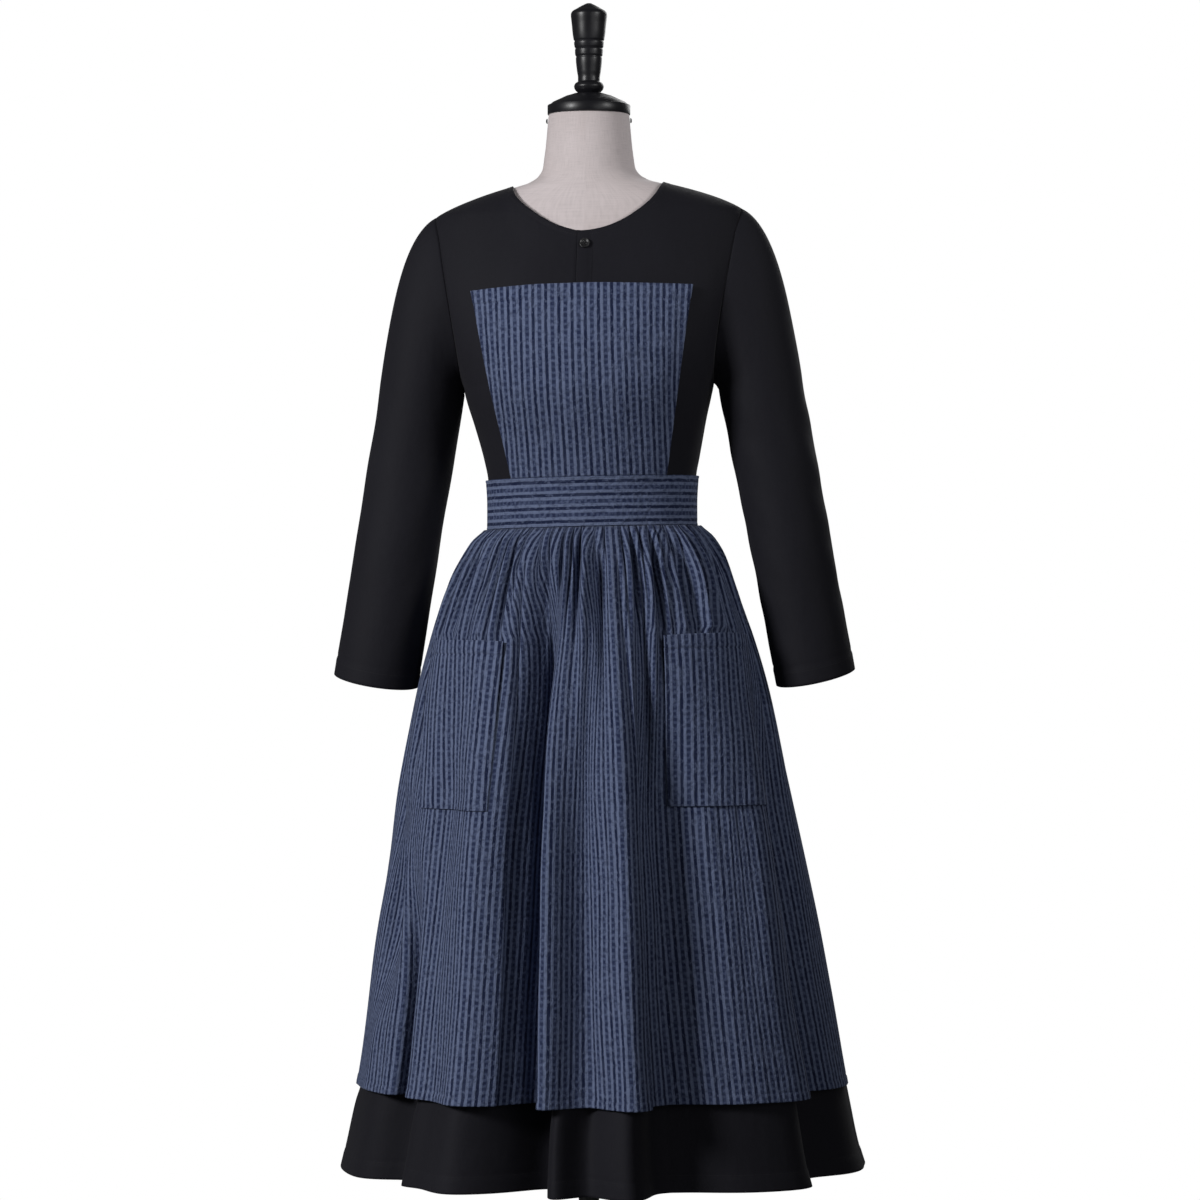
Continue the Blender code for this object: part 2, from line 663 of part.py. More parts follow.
def armhole_frame(face, side, height):
    """A point of the armhole's edge on one panel and the direction that leads off the panel there."""
    near = 0.004
    edge = bodice_point(face, side, height) + Vector((0, face * SEAM_GAP / 2, 0))
    inside = bodice_point(face, side * (1 - near), height)
    above = bodice_point(face, side, min(height + 0.001, SHOULDER_TIP))
    below = bodice_point(face, side, max(height - 0.001, ARMPIT))
    along = (above - below).normalized()
    out = (edge - inside).normalized()
    out = (out - along * out.dot(along)).normalized()
    if height in (ARMPIT, SHOULDER_TIP):
        out = Vector((side * 0.5, 0, 0.866)) if height == ARMPIT else Vector((side, 0, 0))
    return edge, out


def build_sleeve(sleeve, paint):
    """A set-in sleeve: rings fan from the armhole round the armpit, then run down to the cuff."""
    heights = edge_heights()[ROWS_TO_ARMPIT : ROWS_TO_ARMPIT + ROWS_ALONG_ARMHOLE + 1]
    frames = [armhole_frame(-1, sleeve.side, height) for height in heights]
    frames += [armhole_frame(1, sleeve.side, height) for height in reversed(heights[1:-1])]
    for k in (0, ROWS_ALONG_ARMHOLE):
        frames[k][0].y = 0
    sides = len(frames)
    upper_inner = Vector((sleeve.side * sleeve.inner_x, 0, sleeve.inner_z))
    upper_outer = Vector((sleeve.side * sleeve.outer_x, 0, sleeve.outer_z))
    cuff_inner = Vector((sleeve.side * sleeve.cuff_inner_x, 0, sleeve.cuff_inner_z))
    cuff_outer = Vector((sleeve.side * sleeve.cuff_outer_x, 0, sleeve.cuff_outer_z))

    def arm_ring(k, share):
        """Point k of the ring a share of the way from the upper arm to the cuff."""
        angle = 2 * math.pi * k / sides
        inner = upper_inner.lerp(cuff_inner, share)
        outer = upper_outer.lerp(cuff_outer, share)
        half_depth = SLEEVE_HALF_DEPTH_TOP + share * (SLEEVE_HALF_DEPTH_CUFF - SLEEVE_HALF_DEPTH_TOP)
        centre = (inner + outer) / 2
        forward = Vector((0, -SLEEVE_FORWARD, 0)) * share**1.5
        across = (inner - centre) * math.cos(angle)
        deep = Vector((0, -half_depth, -SLEEVE_FRONT_DROP * share)) * math.sin(angle)
        return centre + across + deep + forward

    def cap_point(k, share):
        """Point k a share of the way from the armhole to the upper arm ring."""
        edge, out = frames[k]
        start = edge + out * SLEEVE_SEAM_GAP
        end = arm_ring(k, 0)
        reach = (end - start).length
        leave = Vector((sleeve.side * SLEEVE_LEAVE_OUT, 0, -SLEEVE_LEAVE_DOWN)) * reach * SLEEVE_CAP_PULL
        arrive = (arm_ring(k, 0.02) - end).normalized() * reach * SLEEVE_DROP_PULL
        s = share
        return (
            start * (1 - 3 * s**2 + 2 * s**3)
            + leave * (s - 2 * s**2 + s**3)
            + end * (3 * s**2 - 2 * s**3)
            + arrive * (s**3 - s**2)
        )

    def outer_point(k, row):
        k %= sides
        if row <= SLEEVE_CAP_RINGS:
            return cap_point(k, row / SLEEVE_CAP_RINGS)
        return arm_ring(k, (row - SLEEVE_CAP_RINGS) / SLEEVE_ARM_RINGS)

    rows = SLEEVE_CAP_RINGS + SLEEVE_ARM_RINGS

    def place(column, row):
        outer = outer_point(column, row)
        along = outer_point(column, min(row + 1, rows)) - outer_point(column, max(row - 1, 0))
        around = outer_point(column + 1, row) - outer_point(column - 1, row)
        normal = along.cross(around).normalized()
        ring_centre = sum((outer_point(k, row) for k in range(sides)), Vector()) / sides
        if normal.dot(outer - ring_centre) < 0:
            normal = -normal
        return outer, outer - normal * DRESS_WALL

    wall(sleeve.name, sides, rows, place, paint, closed=True)


def build_dress_skirt(paint):
    """Front and back skirt panels, joined to the bodice at the waist seam and to each other at the sides."""
    covered = [BAND_BOTTOM - share * (BAND_BOTTOM - APRON_HEM) for share in SKIRT_ROW_SHARES]
    heights = [DRESS_WAIST, *covered, DRESS_HEM]
    panels = (("skirt_front", -1, SKIRT_FRONT_COLUMNS), ("skirt_back", 1, SKIRT_BACK_COLUMNS))
    for name, face, columns in panels:
        shift = Vector((0, face * SEAM_GAP / 2, 0))

        def surface(across, height, face=face):
            return dress_skirt_point(face, across, height)

        def place(column, row, surface=surface, shift=shift, columns=columns):
            across = -1 + 2 * column / columns
            height = heights[row]
            outer = surface(across, height) + shift
            normal = surface_normal(surface, across, height, DRESS_HEM, DRESS_WAIST)
            if abs(across) == 1:
                normal = Vector((normal.x, 0, normal.z)).normalized()
            return outer, outer - normal * DRESS_WALL

        wall(name, columns, len(heights) - 1, place, paint)


# Apron


def bib_top(x):
    """Height of the bib's top edge: straight on the wearer's left, drooping to its corner on the right."""
    droop = BIB_TOP_DROOP * (max(-x, 0.0) / BIB_TOP_HALF) ** BIB_TOP_DROOP_POWER
    return BIB_TOP + BIB_TOP_TILT * x - droop


def build_bib(paint):
    """The bib, wider at the top, lying on the front of the bodice."""
    columns, rows = 14, 8
    low = BAND_TOP + 2 * SEAM_GAP

    def place(column, row):
        side = -1 + 2 * column / columns
        share = row / rows
        half = BIB_BOTTOM_HALF + (BIB_TOP_HALF - BIB_BOTTOM_HALF) * share
        x = side * half + BIB_BOTTOM_SHIFT * (1 - share) + BIB_TOP_SHIFT * share
        height = low + (bib_top(x) - low) * share
        across = bodice_across(-1, x, height)
        point = bodice_point(-1, across, height)
        normal = bodice_normal(-1, across, height)
        if row == 0:
            normal = Vector((normal.x, normal.y, 0)).normalized()
        return point + normal * (BIB_STAND_OFF + APRON_WALL), point + normal * BIB_STAND_OFF

    wall("apron_bib", columns, rows, place, paint)


def band_point(angle, height, lift):
    """A point round the waistband at an angle from the front, lifted off the dress."""
    face = -1 if abs(angle) <= math.pi / 2 else 1
    depth = reading(BODICE_LEVELS, height, "front" if face < 0 else "back")
    half = reading(BODICE_LEVELS, height, "half_width")
    x = (half + lift) * math.sin(angle) + waist_shift(height)
    y = -(depth + lift) * math.cos(angle)
    return Vector((x, y, height + dress_tilt(x, height)))


def band_lift(angle):
    """Lift of the band off the dress: its last stretch laps over its first at the back."""
    return BAND_STAND_OFF + (BAND_WALL + 0.0005) * eased(angle, math.pi - 3 * BAND_LAP, math.pi - BAND_LAP)


def build_waistband(paint):
    """One strip round the waist that laps over itself at the centre back."""
    columns, heights = BAND_COLUMNS, (BAND_BOTTOM, DRESS_WAIST, BAND_TOP)

    def place(column, row):
        angle = -math.pi - BAND_LAP + 2 * (math.pi + BAND_LAP) * column / columns
        height = heights[row]
        lift = band_lift(angle)
        return band_point(angle, height, lift + BAND_WALL), band_point(angle, height, lift)

    wall("apron_waistband", columns, len(heights) - 1, place, paint)


def apron_heights():
    """Heights of the apron skirt's rows, from the waistband's lower edge to the hem."""
    top = BAND_BOTTOM - SEAM_GAP
    return [top - share * (top - APRON_HEM) for share in APRON_ROW_SHARES]


def build_apron_skirt(paint):
    """The gathered apron skirt, from the waistband's lower edge to its hem."""
    heights = apron_heights()
    top = heights[0]

    def place(column, row):
        across = -1 + 2 * column / APRON_COLUMNS
        height = heights[row]
        outer = apron_point(across, height)
        normal = surface_normal(apron_point, across, height, APRON_HEM, top)
        if row == 0:
            normal = Vector((normal.x, normal.y, 0)).normalized()
        return outer, outer - normal * APRON_WALL

    wall("apron_skirt", APRON_COLUMNS, len(heights) - 1, place, paint)


def build_pocket(pocket, paint):
    """A patch pocket made from the apron skirt's own points, its mouth standing a little open."""
    apron_rows = apron_heights()
    kept = [height for height in apron_rows if pocket.bottom + 0.01 < height < pocket.mouth - 0.01]
    marks = [pocket.mouth, *kept, pocket.bottom]
    heights = [pocket.mouth]
    for above, below in zip(marks, marks[1:]):
        heights += [(above + below) / 2, below] if above - below > 0.03 else [below]

    def surface(across, height):
        """The apron's straight run between its rows, without gathers or short folds."""
        above = min(row for row in apron_rows if row >= height)
        below = max(row for row in apron_rows if row < above)
        blend = (above - height) / (above - below)
        high = apron_point(across, above, gathered=False)
        return high.lerp(apron_point(across, below, gathered=False), blend)

    def place(column, row):
        height = heights[row]
        share_up = (height - pocket.bottom) / (pocket.mouth - pocket.bottom)
        first = pocket.bottom_first + (pocket.mouth_first - pocket.bottom_first) * share_up
        last = pocket.bottom_last + (pocket.mouth_last - pocket.bottom_last) * share_up
        across = -1 + 2 * (first + (last - first) * column / POCKET_COLUMNS) / APRON_COLUMNS
        swing = reading(GATHER_LEVELS, share_down(height), "swing")
        gape = POCKET_MOUTH_GAPE * share_up**3 * math.sin(math.pi * column / POCKET_COLUMNS) ** 0.7
        lift = POCKET_LIFT + swing + gape
        point = surface(across, height)
        normal = surface_normal(surface, across, height, APRON_HEM, apron_rows[0])
        return point + normal * (lift + POCKET_WALL), point + normal * lift

    wall(pocket.name, POCKET_COLUMNS, len(heights) - 1, place, paint)


# Placket and buttons


def build_placket(paint):
    """The narrow strip that closes the slit below the neckline."""
    columns, rows = 2, 6

    def place(column, row):
        x = PLACKET_LEFT + (PLACKET_RIGHT - PLACKET_LEFT) * column / columns
        share = row / rows
        top = neckline_height(-1, x)
        height = PLACKET_BOTTOM + (top - PLACKET_BOTTOM) * share
        across = bodice_across(-1, x, height)
        shift = Vector((0, -SEAM_GAP / 2, 0))
        outer = on_bodice(-1, across, height, PLACKET_LIFT + PLACKET_WALL) + shift
        inner = on_bodice(-1, across, height, PLACKET_LIFT) + shift
        return outer, inner

    wall("neck_placket", columns, rows, place, paint)


def build_button(name, centre, normal, radius, paint):
    """A small turned button with a raised rim, its back at centre and its axis along normal."""
    profile = (
        (radius * 0.70, 0.0),
        (radius, BUTTON_THICKNESS * 0.30),
        (radius, BUTTON_THICKNESS * 0.75),
        (radius * 0.88, BUTTON_THICKNESS),
        (radius * 0.68, BUTTON_THICKNESS * 0.85),
        (radius * 0.58, BUTTON_THICKNESS * 0.62),
    )
    button = turned(name, profile, (0, 0, 0), paint, sides=14)
    button.location = centre
    button.rotation_mode = "QUATERNION"
    button.rotation_quaternion = normal.to_track_quat("Z", "Y")
    return button


def build_buttons(paint):
    """The neck button and the two that close the waistband behind."""
    across = bodice_across(-1, BUTTON_X, BUTTON_Z)
    normal = bodice_normal(-1, across, BUTTON_Z)
    lift = PLACKET_LIFT + PLACKET_WALL + BUTTON_CLEARANCE
    build_button("neck_button", on_bodice(-1, across, BUTTON_Z, lift), normal, BUTTON_RADIUS, paint)
    for number, height in enumerate(BAND_BUTTON_HEIGHTS, 1):
        angle = math.pi
        lift = band_lift(angle) + BAND_WALL + BUTTON_CLEARANCE
        centre = band_point(angle, height, lift)
        build_button(f"band_button_{number}", centre, Vector((0, 1, 0)), BAND_BUTTON_RADIUS, paint)


# Dress form and stand


def build_form(paint):
    """The covered torso with its neck, one smooth body closed at the hips and at the neck's top."""
    builder = bmesh.new()
    rings = []
    for level in FORM_LEVELS:
        ring = []
        for column in range(FORM_COLUMNS):
            angle = 2 * math.pi * column / FORM_COLUMNS
            depth = level.front if math.cos(angle) >= 0 else level.back
            x = level.half_width * math.sin(angle) + waist_shift(level.height)
            tilt = dress_tilt(x, level.height) * (1 - eased(level.height, *FORM_TILT_ENDS))
            ring.append(builder.verts.new((x, -depth * math.cos(angle), level.height + tilt)))
        rings.append([builder.edges.new((ring[k - 1], ring[k])) for k in range(FORM_COLUMNS)])
    for below, above in zip(rings, rings[1:]):
        bmesh.ops.bridge_loops(builder, edges=below + above)
    for ring in (rings[0], rings[-1]):
        bmesh.ops.contextual_create(builder, geom=ring)
    return add_object("form_torso", builder, paint)


def build_cap_and_handle(paint):
    """The turned cap on the neck, the two screws that hold it and the handle above."""
    bottom = NECK_TOP + SEAM_GAP
    cap = (
        (CAP_RADIUS - 0.0010, bottom),
        (CAP_RADIUS, bottom + 0.0010),
        (CAP_RADIUS, bottom + CAP_RIM_HEIGHT),
        (CAP_RADIUS - 0.0012, bottom + CAP_RIM_HEIGHT + 0.0010),
        (0.0445, CAP_PEAK - 0.0105),
        (0.0285, CAP_PEAK - 0.0030),
        (0.0190, CAP_PEAK),
    )
    turned("neck_cap", cap, (0, 0, 0), paint, sides=32)
    handle = [(turning.radius, CAP_PEAK + SEAM_GAP + turning.height) for turning in HANDLE_TURNINGS]
    turned("cap_handle", handle, (0, 0, 0), paint)


def build_screws(paint):
    """A round-headed screw on each side of the neck, just below the cap."""
    for name, side in (("neck_screw_left", 1), ("neck_screw_right", -1)):
        profile = ((0.0032, 0.0), (0.0032, 0.0006), (0.0022, 0.0016), (0.0008, 0.0020))
        screw = turned(name, profile, (0, 0, 0), paint, sides=10)
        height = NECK_TOP - SCREW_BELOW_CAP
        half = reading(FORM_LEVELS, height, "half_width")
        screw.location = (side * (half + SCREW_CLEARANCE), 0, height)
        screw.rotation_mode = "QUATERNION"
        screw.rotation_quaternion = Vector((side, 0, 0)).to_track_quat("Z", "Y")


def build_stand(paint):
    """Pole, its collar and the round base on the floor."""
    base = (
        (BASE_RADIUS - 0.002, 0.0),
        (BASE_RADIUS, 0.002),
        (BASE_RADIUS, BASE_THICKNESS - 0.003),
        (BASE_RADIUS - 0.003, BASE_THICKNESS),
        (BASE_CROWN_RADIUS, BASE_THICKNESS + BASE_CROWN),
    )
    turned("stand_base", base, (0, 0, 0), paint, sides=36)
    top = BASE_THICKNESS + BASE_CROWN
    collar_low, collar_high = top + SEAM_GAP, top + COLLAR_HEIGHT
    ring_about_pole("stand_collar", POLE_RADIUS + SEAM_GAP, COLLAR_RADIUS, collar_low, collar_high, paint)
    pole = ((POLE_RADIUS, top + SEAM_GAP), (POLE_RADIUS, FORM_BOTTOM - SEAM_GAP))
    turned("stand_pole", pole, (0, 0, 0), paint, sides=24)


def ring_about_pole(name, inner, outer, low, high, paint):
    """A ring about the pole with a chamfered top edge."""
    builder = bmesh.new()
    corners = ((inner, low), (outer, low), (outer, high - 0.006), (outer - 0.006, high), (inner, high))
    verts = [builder.verts.new((radius, 0, height)) for radius, height in corners]
    edges = [builder.edges.new((verts[k - 1], verts[k])) for k in range(len(verts))]
    bmesh.ops.spin(
        builder,
        geom=verts + edges,
        cent=(0, 0, 0),
        axis=(0, 0, 1),
        angle=2 * math.pi,
        steps=24,
        use_merge=True,
    )
    bmesh.ops.remove_doubles(builder, verts=builder.verts, dist=1e-6)
    return add_object(name, builder, paint)


def main():
    for thing in list(bpy.data.objects):
        bpy.data.objects.remove(thing)
    dress_cloth = finish_paint("dress_cloth", (0.012, 0.012, 0.014), 0.85)
    apron_cloth = finish_paint("apron_cloth", (0.075, 0.10, 0.19), 0.9)
    button_plastic = finish_paint("button_plastic", (0.02, 0.02, 0.022), 0.35)
    form_linen = finish_paint("form_linen", (0.62, 0.54, 0.50), 0.9)
    cap_lacquer = finish_paint("cap_lacquer", (0.012, 0.012, 0.014), 0.25)
    stand_paint = finish_paint("stand_paint", (0.012, 0.012, 0.014), 0.35)
    screw_steel = finish_paint("screw_steel", (0.10, 0.10, 0.11), 0.3, 1.0)
    build_bodice(dress_cloth)
    for sleeve in SLEEVES:
        build_sleeve(sleeve, dress_cloth)
    build_dress_skirt(dress_cloth)
    build_placket(dress_cloth)
    build_bib(apron_cloth)
    build_waistband(apron_cloth)
    build_apron_skirt(apron_cloth)
    for pocket in POCKETS:
        build_pocket(pocket, apron_cloth)
    build_buttons(button_plastic)
    build_form(form_linen)
    build_cap_and_handle(cap_lacquer)
    build_screws(screw_steel)
    build_stand(stand_paint)


main()
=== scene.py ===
"""Looks of a black maid dress under a striped pinafore apron, worn by a limbless dress form on a round stand.

Metres, +Z up. The origin is on the floor under the pole, the front faces -Y and the wearer's left is +X.
Every cloth panel is a fine grid of points on the same surfaces as the solid model. Its UV map is the flat cut
of the cloth in metres: u runs across the stripes and v along them.
"""

from __future__ import annotations

import logging
import math
from dataclasses import dataclass, field
from enum import Enum

import bmesh
import bpy
import numpy as np
from mathutils import Matrix, Vector


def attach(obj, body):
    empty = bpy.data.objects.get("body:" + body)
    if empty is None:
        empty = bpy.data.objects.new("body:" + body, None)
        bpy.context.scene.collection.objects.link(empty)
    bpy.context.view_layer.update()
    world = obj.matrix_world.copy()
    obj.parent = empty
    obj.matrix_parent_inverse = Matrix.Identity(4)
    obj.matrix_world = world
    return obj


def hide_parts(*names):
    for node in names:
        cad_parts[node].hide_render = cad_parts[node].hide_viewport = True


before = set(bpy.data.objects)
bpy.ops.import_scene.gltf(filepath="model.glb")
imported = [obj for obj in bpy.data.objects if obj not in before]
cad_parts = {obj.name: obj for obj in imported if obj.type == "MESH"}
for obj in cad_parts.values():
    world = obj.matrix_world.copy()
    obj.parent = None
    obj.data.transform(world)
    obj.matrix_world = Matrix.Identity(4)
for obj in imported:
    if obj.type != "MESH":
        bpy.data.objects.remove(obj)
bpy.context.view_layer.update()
LOG = logging.getLogger("maid_dress")

SEAM_GAP = 0.0003
DRESS_HEM = 0.243
APRON_HEM = 0.345
BAND_BOTTOM = 1.018
DRESS_WAIST = 1.046
BAND_TOP = 1.078
WAIST_SHIFT = 0.0040
TILT = 0.022
ARMPIT = 1.190
SHOULDER_TIP = 1.402
NECK_POINT = 1.436
APRON_COLUMNS = 96
STRIPE_PITCH = 0.0158
HALVINGS = 32
SEAM_BEFORE = 0.0004
SEAM_AFTER = 0.0012
SEAM_DENT_WIDTH = 0.0016
SEAM_DENT_DEPTH = 1.3
FLAT_PATTERN = "flat_pattern"
Colour = tuple[float, float, float]
Line = tuple[np.ndarray, np.ndarray]


class Face(Enum):
    """Front or back of the dress, as the sign of y."""

    FRONT = -1
    BACK = 1


class Side(Enum):
    """The wearer's left or right, as the sign of x."""

    LEFT = 1
    RIGHT = -1


class Held(Enum):
    """How a sheet of cloth is held."""

    HUNG = "hung"
    GATHERED = "gathered"
    STRETCHED = "stretched"
    LAID = "laid"


# Curves and soft steps


@dataclass(frozen=True)
class Curve:
    """A smooth curve through the rows of a table, without overshoot."""

    places: tuple[float, ...]
    values: tuple[float, ...]

    def __call__(self, place: np.ndarray | float) -> np.ndarray:
        """Reads the curve.

        Args:
            place: where to read it, one number or an array.

        Returns:
            The value or values there.
        """
        xs, ys = np.array(self.places), np.array(self.values)
        steps = np.diff(xs)
        slopes = np.diff(ys) / steps
        below, above = slopes[:-1], slopes[1:]
        together = np.where(below + above == 0, 1.0, below + above)
        inner = np.where(below * above > 0, 2 * below * above / together, 0.0)
        tangents = np.concatenate(([slopes[0]], inner, [slopes[-1]]))
        x = np.clip(place, xs[0], xs[-1])
        i = np.clip(np.searchsorted(xs, x, side="right") - 1, 0, len(xs) - 2)
        s = (x - xs[i]) / steps[i]
        start = ys[i] * (1 - 3 * s**2 + 2 * s**3) + steps[i] * tangents[i] * (s - 2 * s**2 + s**3)
        end = ys[i + 1] * (3 * s**2 - 2 * s**3) + steps[i] * tangents[i + 1] * (s**3 - s**2)
        return start + end


def curves(rows: tuple[tuple[float, ...], ...]) -> list[Curve]:
    """Curves of a table's columns over its first column.

    Args:
        rows: the table, its first column rising.

    Returns:
        One curve for each further column.
    """
    columns = list(zip(*rows))
    return [Curve(columns[0], values) for values in columns[1:]]


def eased(value: np.ndarray | float, low: float, high: float) -> np.ndarray:
    """0 below low and 1 above high, with a soft start and end."""
    s = np.clip((np.asarray(value, float) - low) / (high - low), 0.0, 1.0)
    return s * s * (3 - 2 * s)


def bump(distance: np.ndarray | float, before: float, after: float) -> np.ndarray:
    """A rounded hump of height 1 at distance 0, with its own width on each side."""
    distance = np.asarray(distance, float)
    return np.exp(-((distance / np.where(distance < 0, before, after)) ** 2))


@dataclass(frozen=True)
class Hump:
    """A rounded hump: its place, its width on each side of it and its height, in metres."""

    at: float
    before: float
    after: float
    height: float

    def __call__(self, place: np.ndarray) -> np.ndarray:
        """The hump's height at a place."""
        return self.height * bump(place - self.at, self.before, self.after)


def stacked(x: np.ndarray, y: np.ndarray, z: np.ndarray) -> np.ndarray:
    """Points from their three coordinates, brought to one shape."""
    return np.stack(np.broadcast_arrays(x, y, z), axis=-1)


def unit(vectors: np.ndarray) -> np.ndarray:
    """The same directions, one long."""
    return vectors / np.maximum(np.linalg.norm(vectors, axis=-1, keepdims=True), 1e-12)


def ripple(u: np.ndarray, v: np.ndarray, size: float, seed: int, stretch: float = 1.0) -> np.ndarray:
    """Soft uneven waves over a cloth, between about -1 and 1.

    Args:
        u: place across the cloth in metres.
        v: place along the cloth in metres.
        size: usual length of a wave in metres.
        seed: picks one of many patterns.
        stretch: how many times longer the waves are along the cloth.

    Returns:
        The wave's height at each place.
    """
    picker = np.random.default_rng(seed)
    total = np.zeros(np.broadcast(u, v).shape)
    for _ in range(7):
        turn = picker.uniform(0, 2 * math.pi)
        length = size * picker.uniform(0.7, 1.6)
        phase = picker.uniform(0, 2 * math.pi)
        total += np.sin(2 * math.pi * (u * math.cos(turn) + v * math.sin(turn) / stretch) / length + phase)
    return total / 4


# The dress's own surfaces


def waist_shift(height: np.ndarray) -> np.ndarray:
    """The waist lies a little towards the wearer's left of the pole."""
    return WAIST_SHIFT * (1 - eased(height, 1.09, ARMPIT))


def dress_tilt(x: np.ndarray, height: np.ndarray) -> np.ndarray:
    """The dress hangs a little higher on the wearer's left."""
    return TILT * x * eased(height, 0.90, 1.00)


@dataclass(frozen=True)
class BodiceShape:
    """Outer surface of the dress above the waist seam."""

    levels: tuple[tuple[float, ...], ...] = (
        (1.000, 0.1255, 0.0970, 0.0890),
        (1.046, 0.1255, 0.0980, 0.0900),
        (1.078, 0.1270, 0.1020, 0.0920),
        (1.100, 0.1310, 0.1080, 0.0950),
        (1.125, 0.1365, 0.1160, 0.0990),
        (1.150, 0.1425, 0.1255, 0.1030),
        (1.172, 0.1485, 0.1330, 0.1065),
        (1.190, 0.1525, 0.1365, 0.1090),
        (1.220, 0.1555, 0.1365, 0.1120),
        (1.260, 0.1610, 0.1280, 0.1140),
        (1.300, 0.1675, 0.1130, 0.1130),
        (1.340, 0.1745, 0.0960, 0.1060),
        (1.372, 0.1800, 0.0830, 0.0960),
        (1.402, 0.1860, 0.0710, 0.0800),
        (1.420, 0.1860, 0.0640, 0.0690),
        (1.436, 0.1860, 0.0580, 0.0600),
    )
    shoulder_tip_half: float = 0.186
    neck_half: float = 0.0925
    shoulder_fullness: float = 0.0100
    front_neck_drop: float = 0.0622
    back_neck_drop: float = 0.0120
    scoop: tuple[tuple[float, int], ...] = ((0.8, 2), (0.2, 16))
    neck_lift_right: Hump = Hump(-0.068, 0.024, 0.045, 0.0034)
    neck_dip: Hump = Hump(-0.004, 0.010, 0.010, -0.0014)
    neck_search_from: float = 1.34
    armhole_front: float = 0.054
    armhole_back: float = 0.052
    armhole_low: float = 0.18
    bust_angle: float = 0.62
    bust_width: float = 0.30
    bust: Hump = Hump(1.195, 0.050, 0.060, 0.004)
    step_across: float = 0.004
    step_up: float = 0.0015
    rows_to_armpit: int = 4
    rows_along_armhole: int = 8
    rows_along_shoulder: int = 2

    def depth(self, face: Face, height: np.ndarray) -> np.ndarray:
        """Depth of the front or back in front of or behind the pole."""
        return curves(self.levels)[1 if face is Face.FRONT else 2](height)

    def edge_half_width(self, height: np.ndarray) -> np.ndarray:
        """Distance of the side seam, armhole or shoulder seam from the centre plane."""
        share = np.clip((height - SHOULDER_TIP) / (NECK_POINT - SHOULDER_TIP), 0, None)
        straight = self.shoulder_tip_half + share * (self.neck_half - self.shoulder_tip_half)
        shoulder = straight + 4 * self.shoulder_fullness * share * (1 - share)
        return np.where(height <= SHOULDER_TIP, curves(self.levels)[0](height), shoulder)

    def armhole_half(self, face: Face, height: np.ndarray) -> np.ndarray:
        """How far the armhole's edge lies in front of or behind the side seam's line."""
        half = self.armhole_front if face is Face.FRONT else self.armhole_back
        s = np.clip((height - ARMPIT) / (SHOULDER_TIP - ARMPIT), 0, 1)
        return 2 * half * np.sqrt(s * (1 - s)) * (1 + self.armhole_low * (1 - 2 * s))

    def point(self, face: Face, across: np.ndarray, height: np.ndarray) -> np.ndarray:
        """Points of the surface.

        Args:
            face: front or back panel.
            across: -1 to 1 between the panel's two edges.
            height: height before the dress's tilt.

        Returns:
            The points.
        """
        height = np.asarray(height, float)
        depth = self.depth(face, height)
        edge_x = self.edge_half_width(height)
        edge_y = self.armhole_half(face, height)
        full_x = edge_x / np.sqrt(1 - (edge_y / depth) ** 2)
        angle = across * np.arctan2(edge_x / full_x, edge_y / depth)
        lift = np.zeros(np.shape(angle))
        if face is Face.FRONT:
            wide = self.bust_width
            sides = bump(angle + self.bust_angle, wide, wide) + bump(angle - self.bust_angle, wide, wide)
            lift = self.bust(height) * sides
        x = (full_x + lift) * np.sin(angle) + waist_shift(height)
        y = face.value * (depth + lift) * np.cos(angle)
        return stacked(x, y, height + dress_tilt(x, height))

    def normal(self, face: Face, across: np.ndarray, height: np.ndarray) -> np.ndarray:
        """Outward directions of the surface at places given as for point()."""
        aside, up = self.step_across, self.step_up
        sideways = self.point(face, across + aside, height) - self.point(face, across - aside, height)
        upwards = self.point(face, across, height + up) - self.point(face, across, height - up)
        return unit(np.cross(sideways, upwards)) * -face.value

    def across_at(self, face: Face, x: np.ndarray, height: np.ndarray) -> np.ndarray:
        """The across values at which the surface has these x."""
        low = np.full(np.broadcast(x, height).shape, -1.0)
        high = -low
        for _ in range(HALVINGS):
            middle = (low + high) / 2
            left_of = self.point(face, middle, height)[..., 0] < x
            low, high = np.where(left_of, middle, low), np.where(left_of, high, middle)
        return (low + high) / 2

    def neckline(self, face: Face, x: np.ndarray) -> np.ndarray:
        """Height of the neckline: a shallow scoop in front, a soft curve behind."""
        s = np.abs(x) / self.neck_half
        if face is Face.FRONT:
            rise = sum(share * s**power for share, power in self.scoop)
            lift = self.neck_lift_right(x) + self.neck_dip(x)
            return NECK_POINT - self.front_neck_drop * (1 - rise) + lift
        return NECK_POINT - self.back_neck_drop * (1 - s**2)

    def panel_top(self, face: Face, across: np.ndarray) -> np.ndarray:
        """Heights at which the panel's columns meet the neckline."""
        low = np.full(np.shape(across), self.neck_search_from)
        high = np.full(np.shape(across), NECK_POINT)
        for _ in range(HALVINGS):
            middle = (low + high) / 2
            under = middle < self.neckline(face, self.point(face, across, middle)[..., 0])
            low, high = np.where(under, middle, low), np.where(under, high, middle)
        return (low + high) / 2

    def edge_height(self, row: np.ndarray) -> np.ndarray:
        """Height at the panel's edge of a row, counted up the side seam, the armhole and the shoulder."""
        arm = self.rows_to_armpit + self.rows_along_armhole
        side = DRESS_WAIST + (ARMPIT - DRESS_WAIST) * row / self.rows_to_armpit
        turn = math.pi * (row - self.rows_to_armpit) / self.rows_along_armhole
        hole = ARMPIT + (SHOULDER_TIP - ARMPIT) * (1 - np.cos(turn)) / 2
        shoulder = SHOULDER_TIP + (NECK_POINT - SHOULDER_TIP) * (row - arm) / self.rows_along_shoulder
        return np.where(row <= self.rows_to_armpit, side, np.where(row <= arm, hole, shoulder))

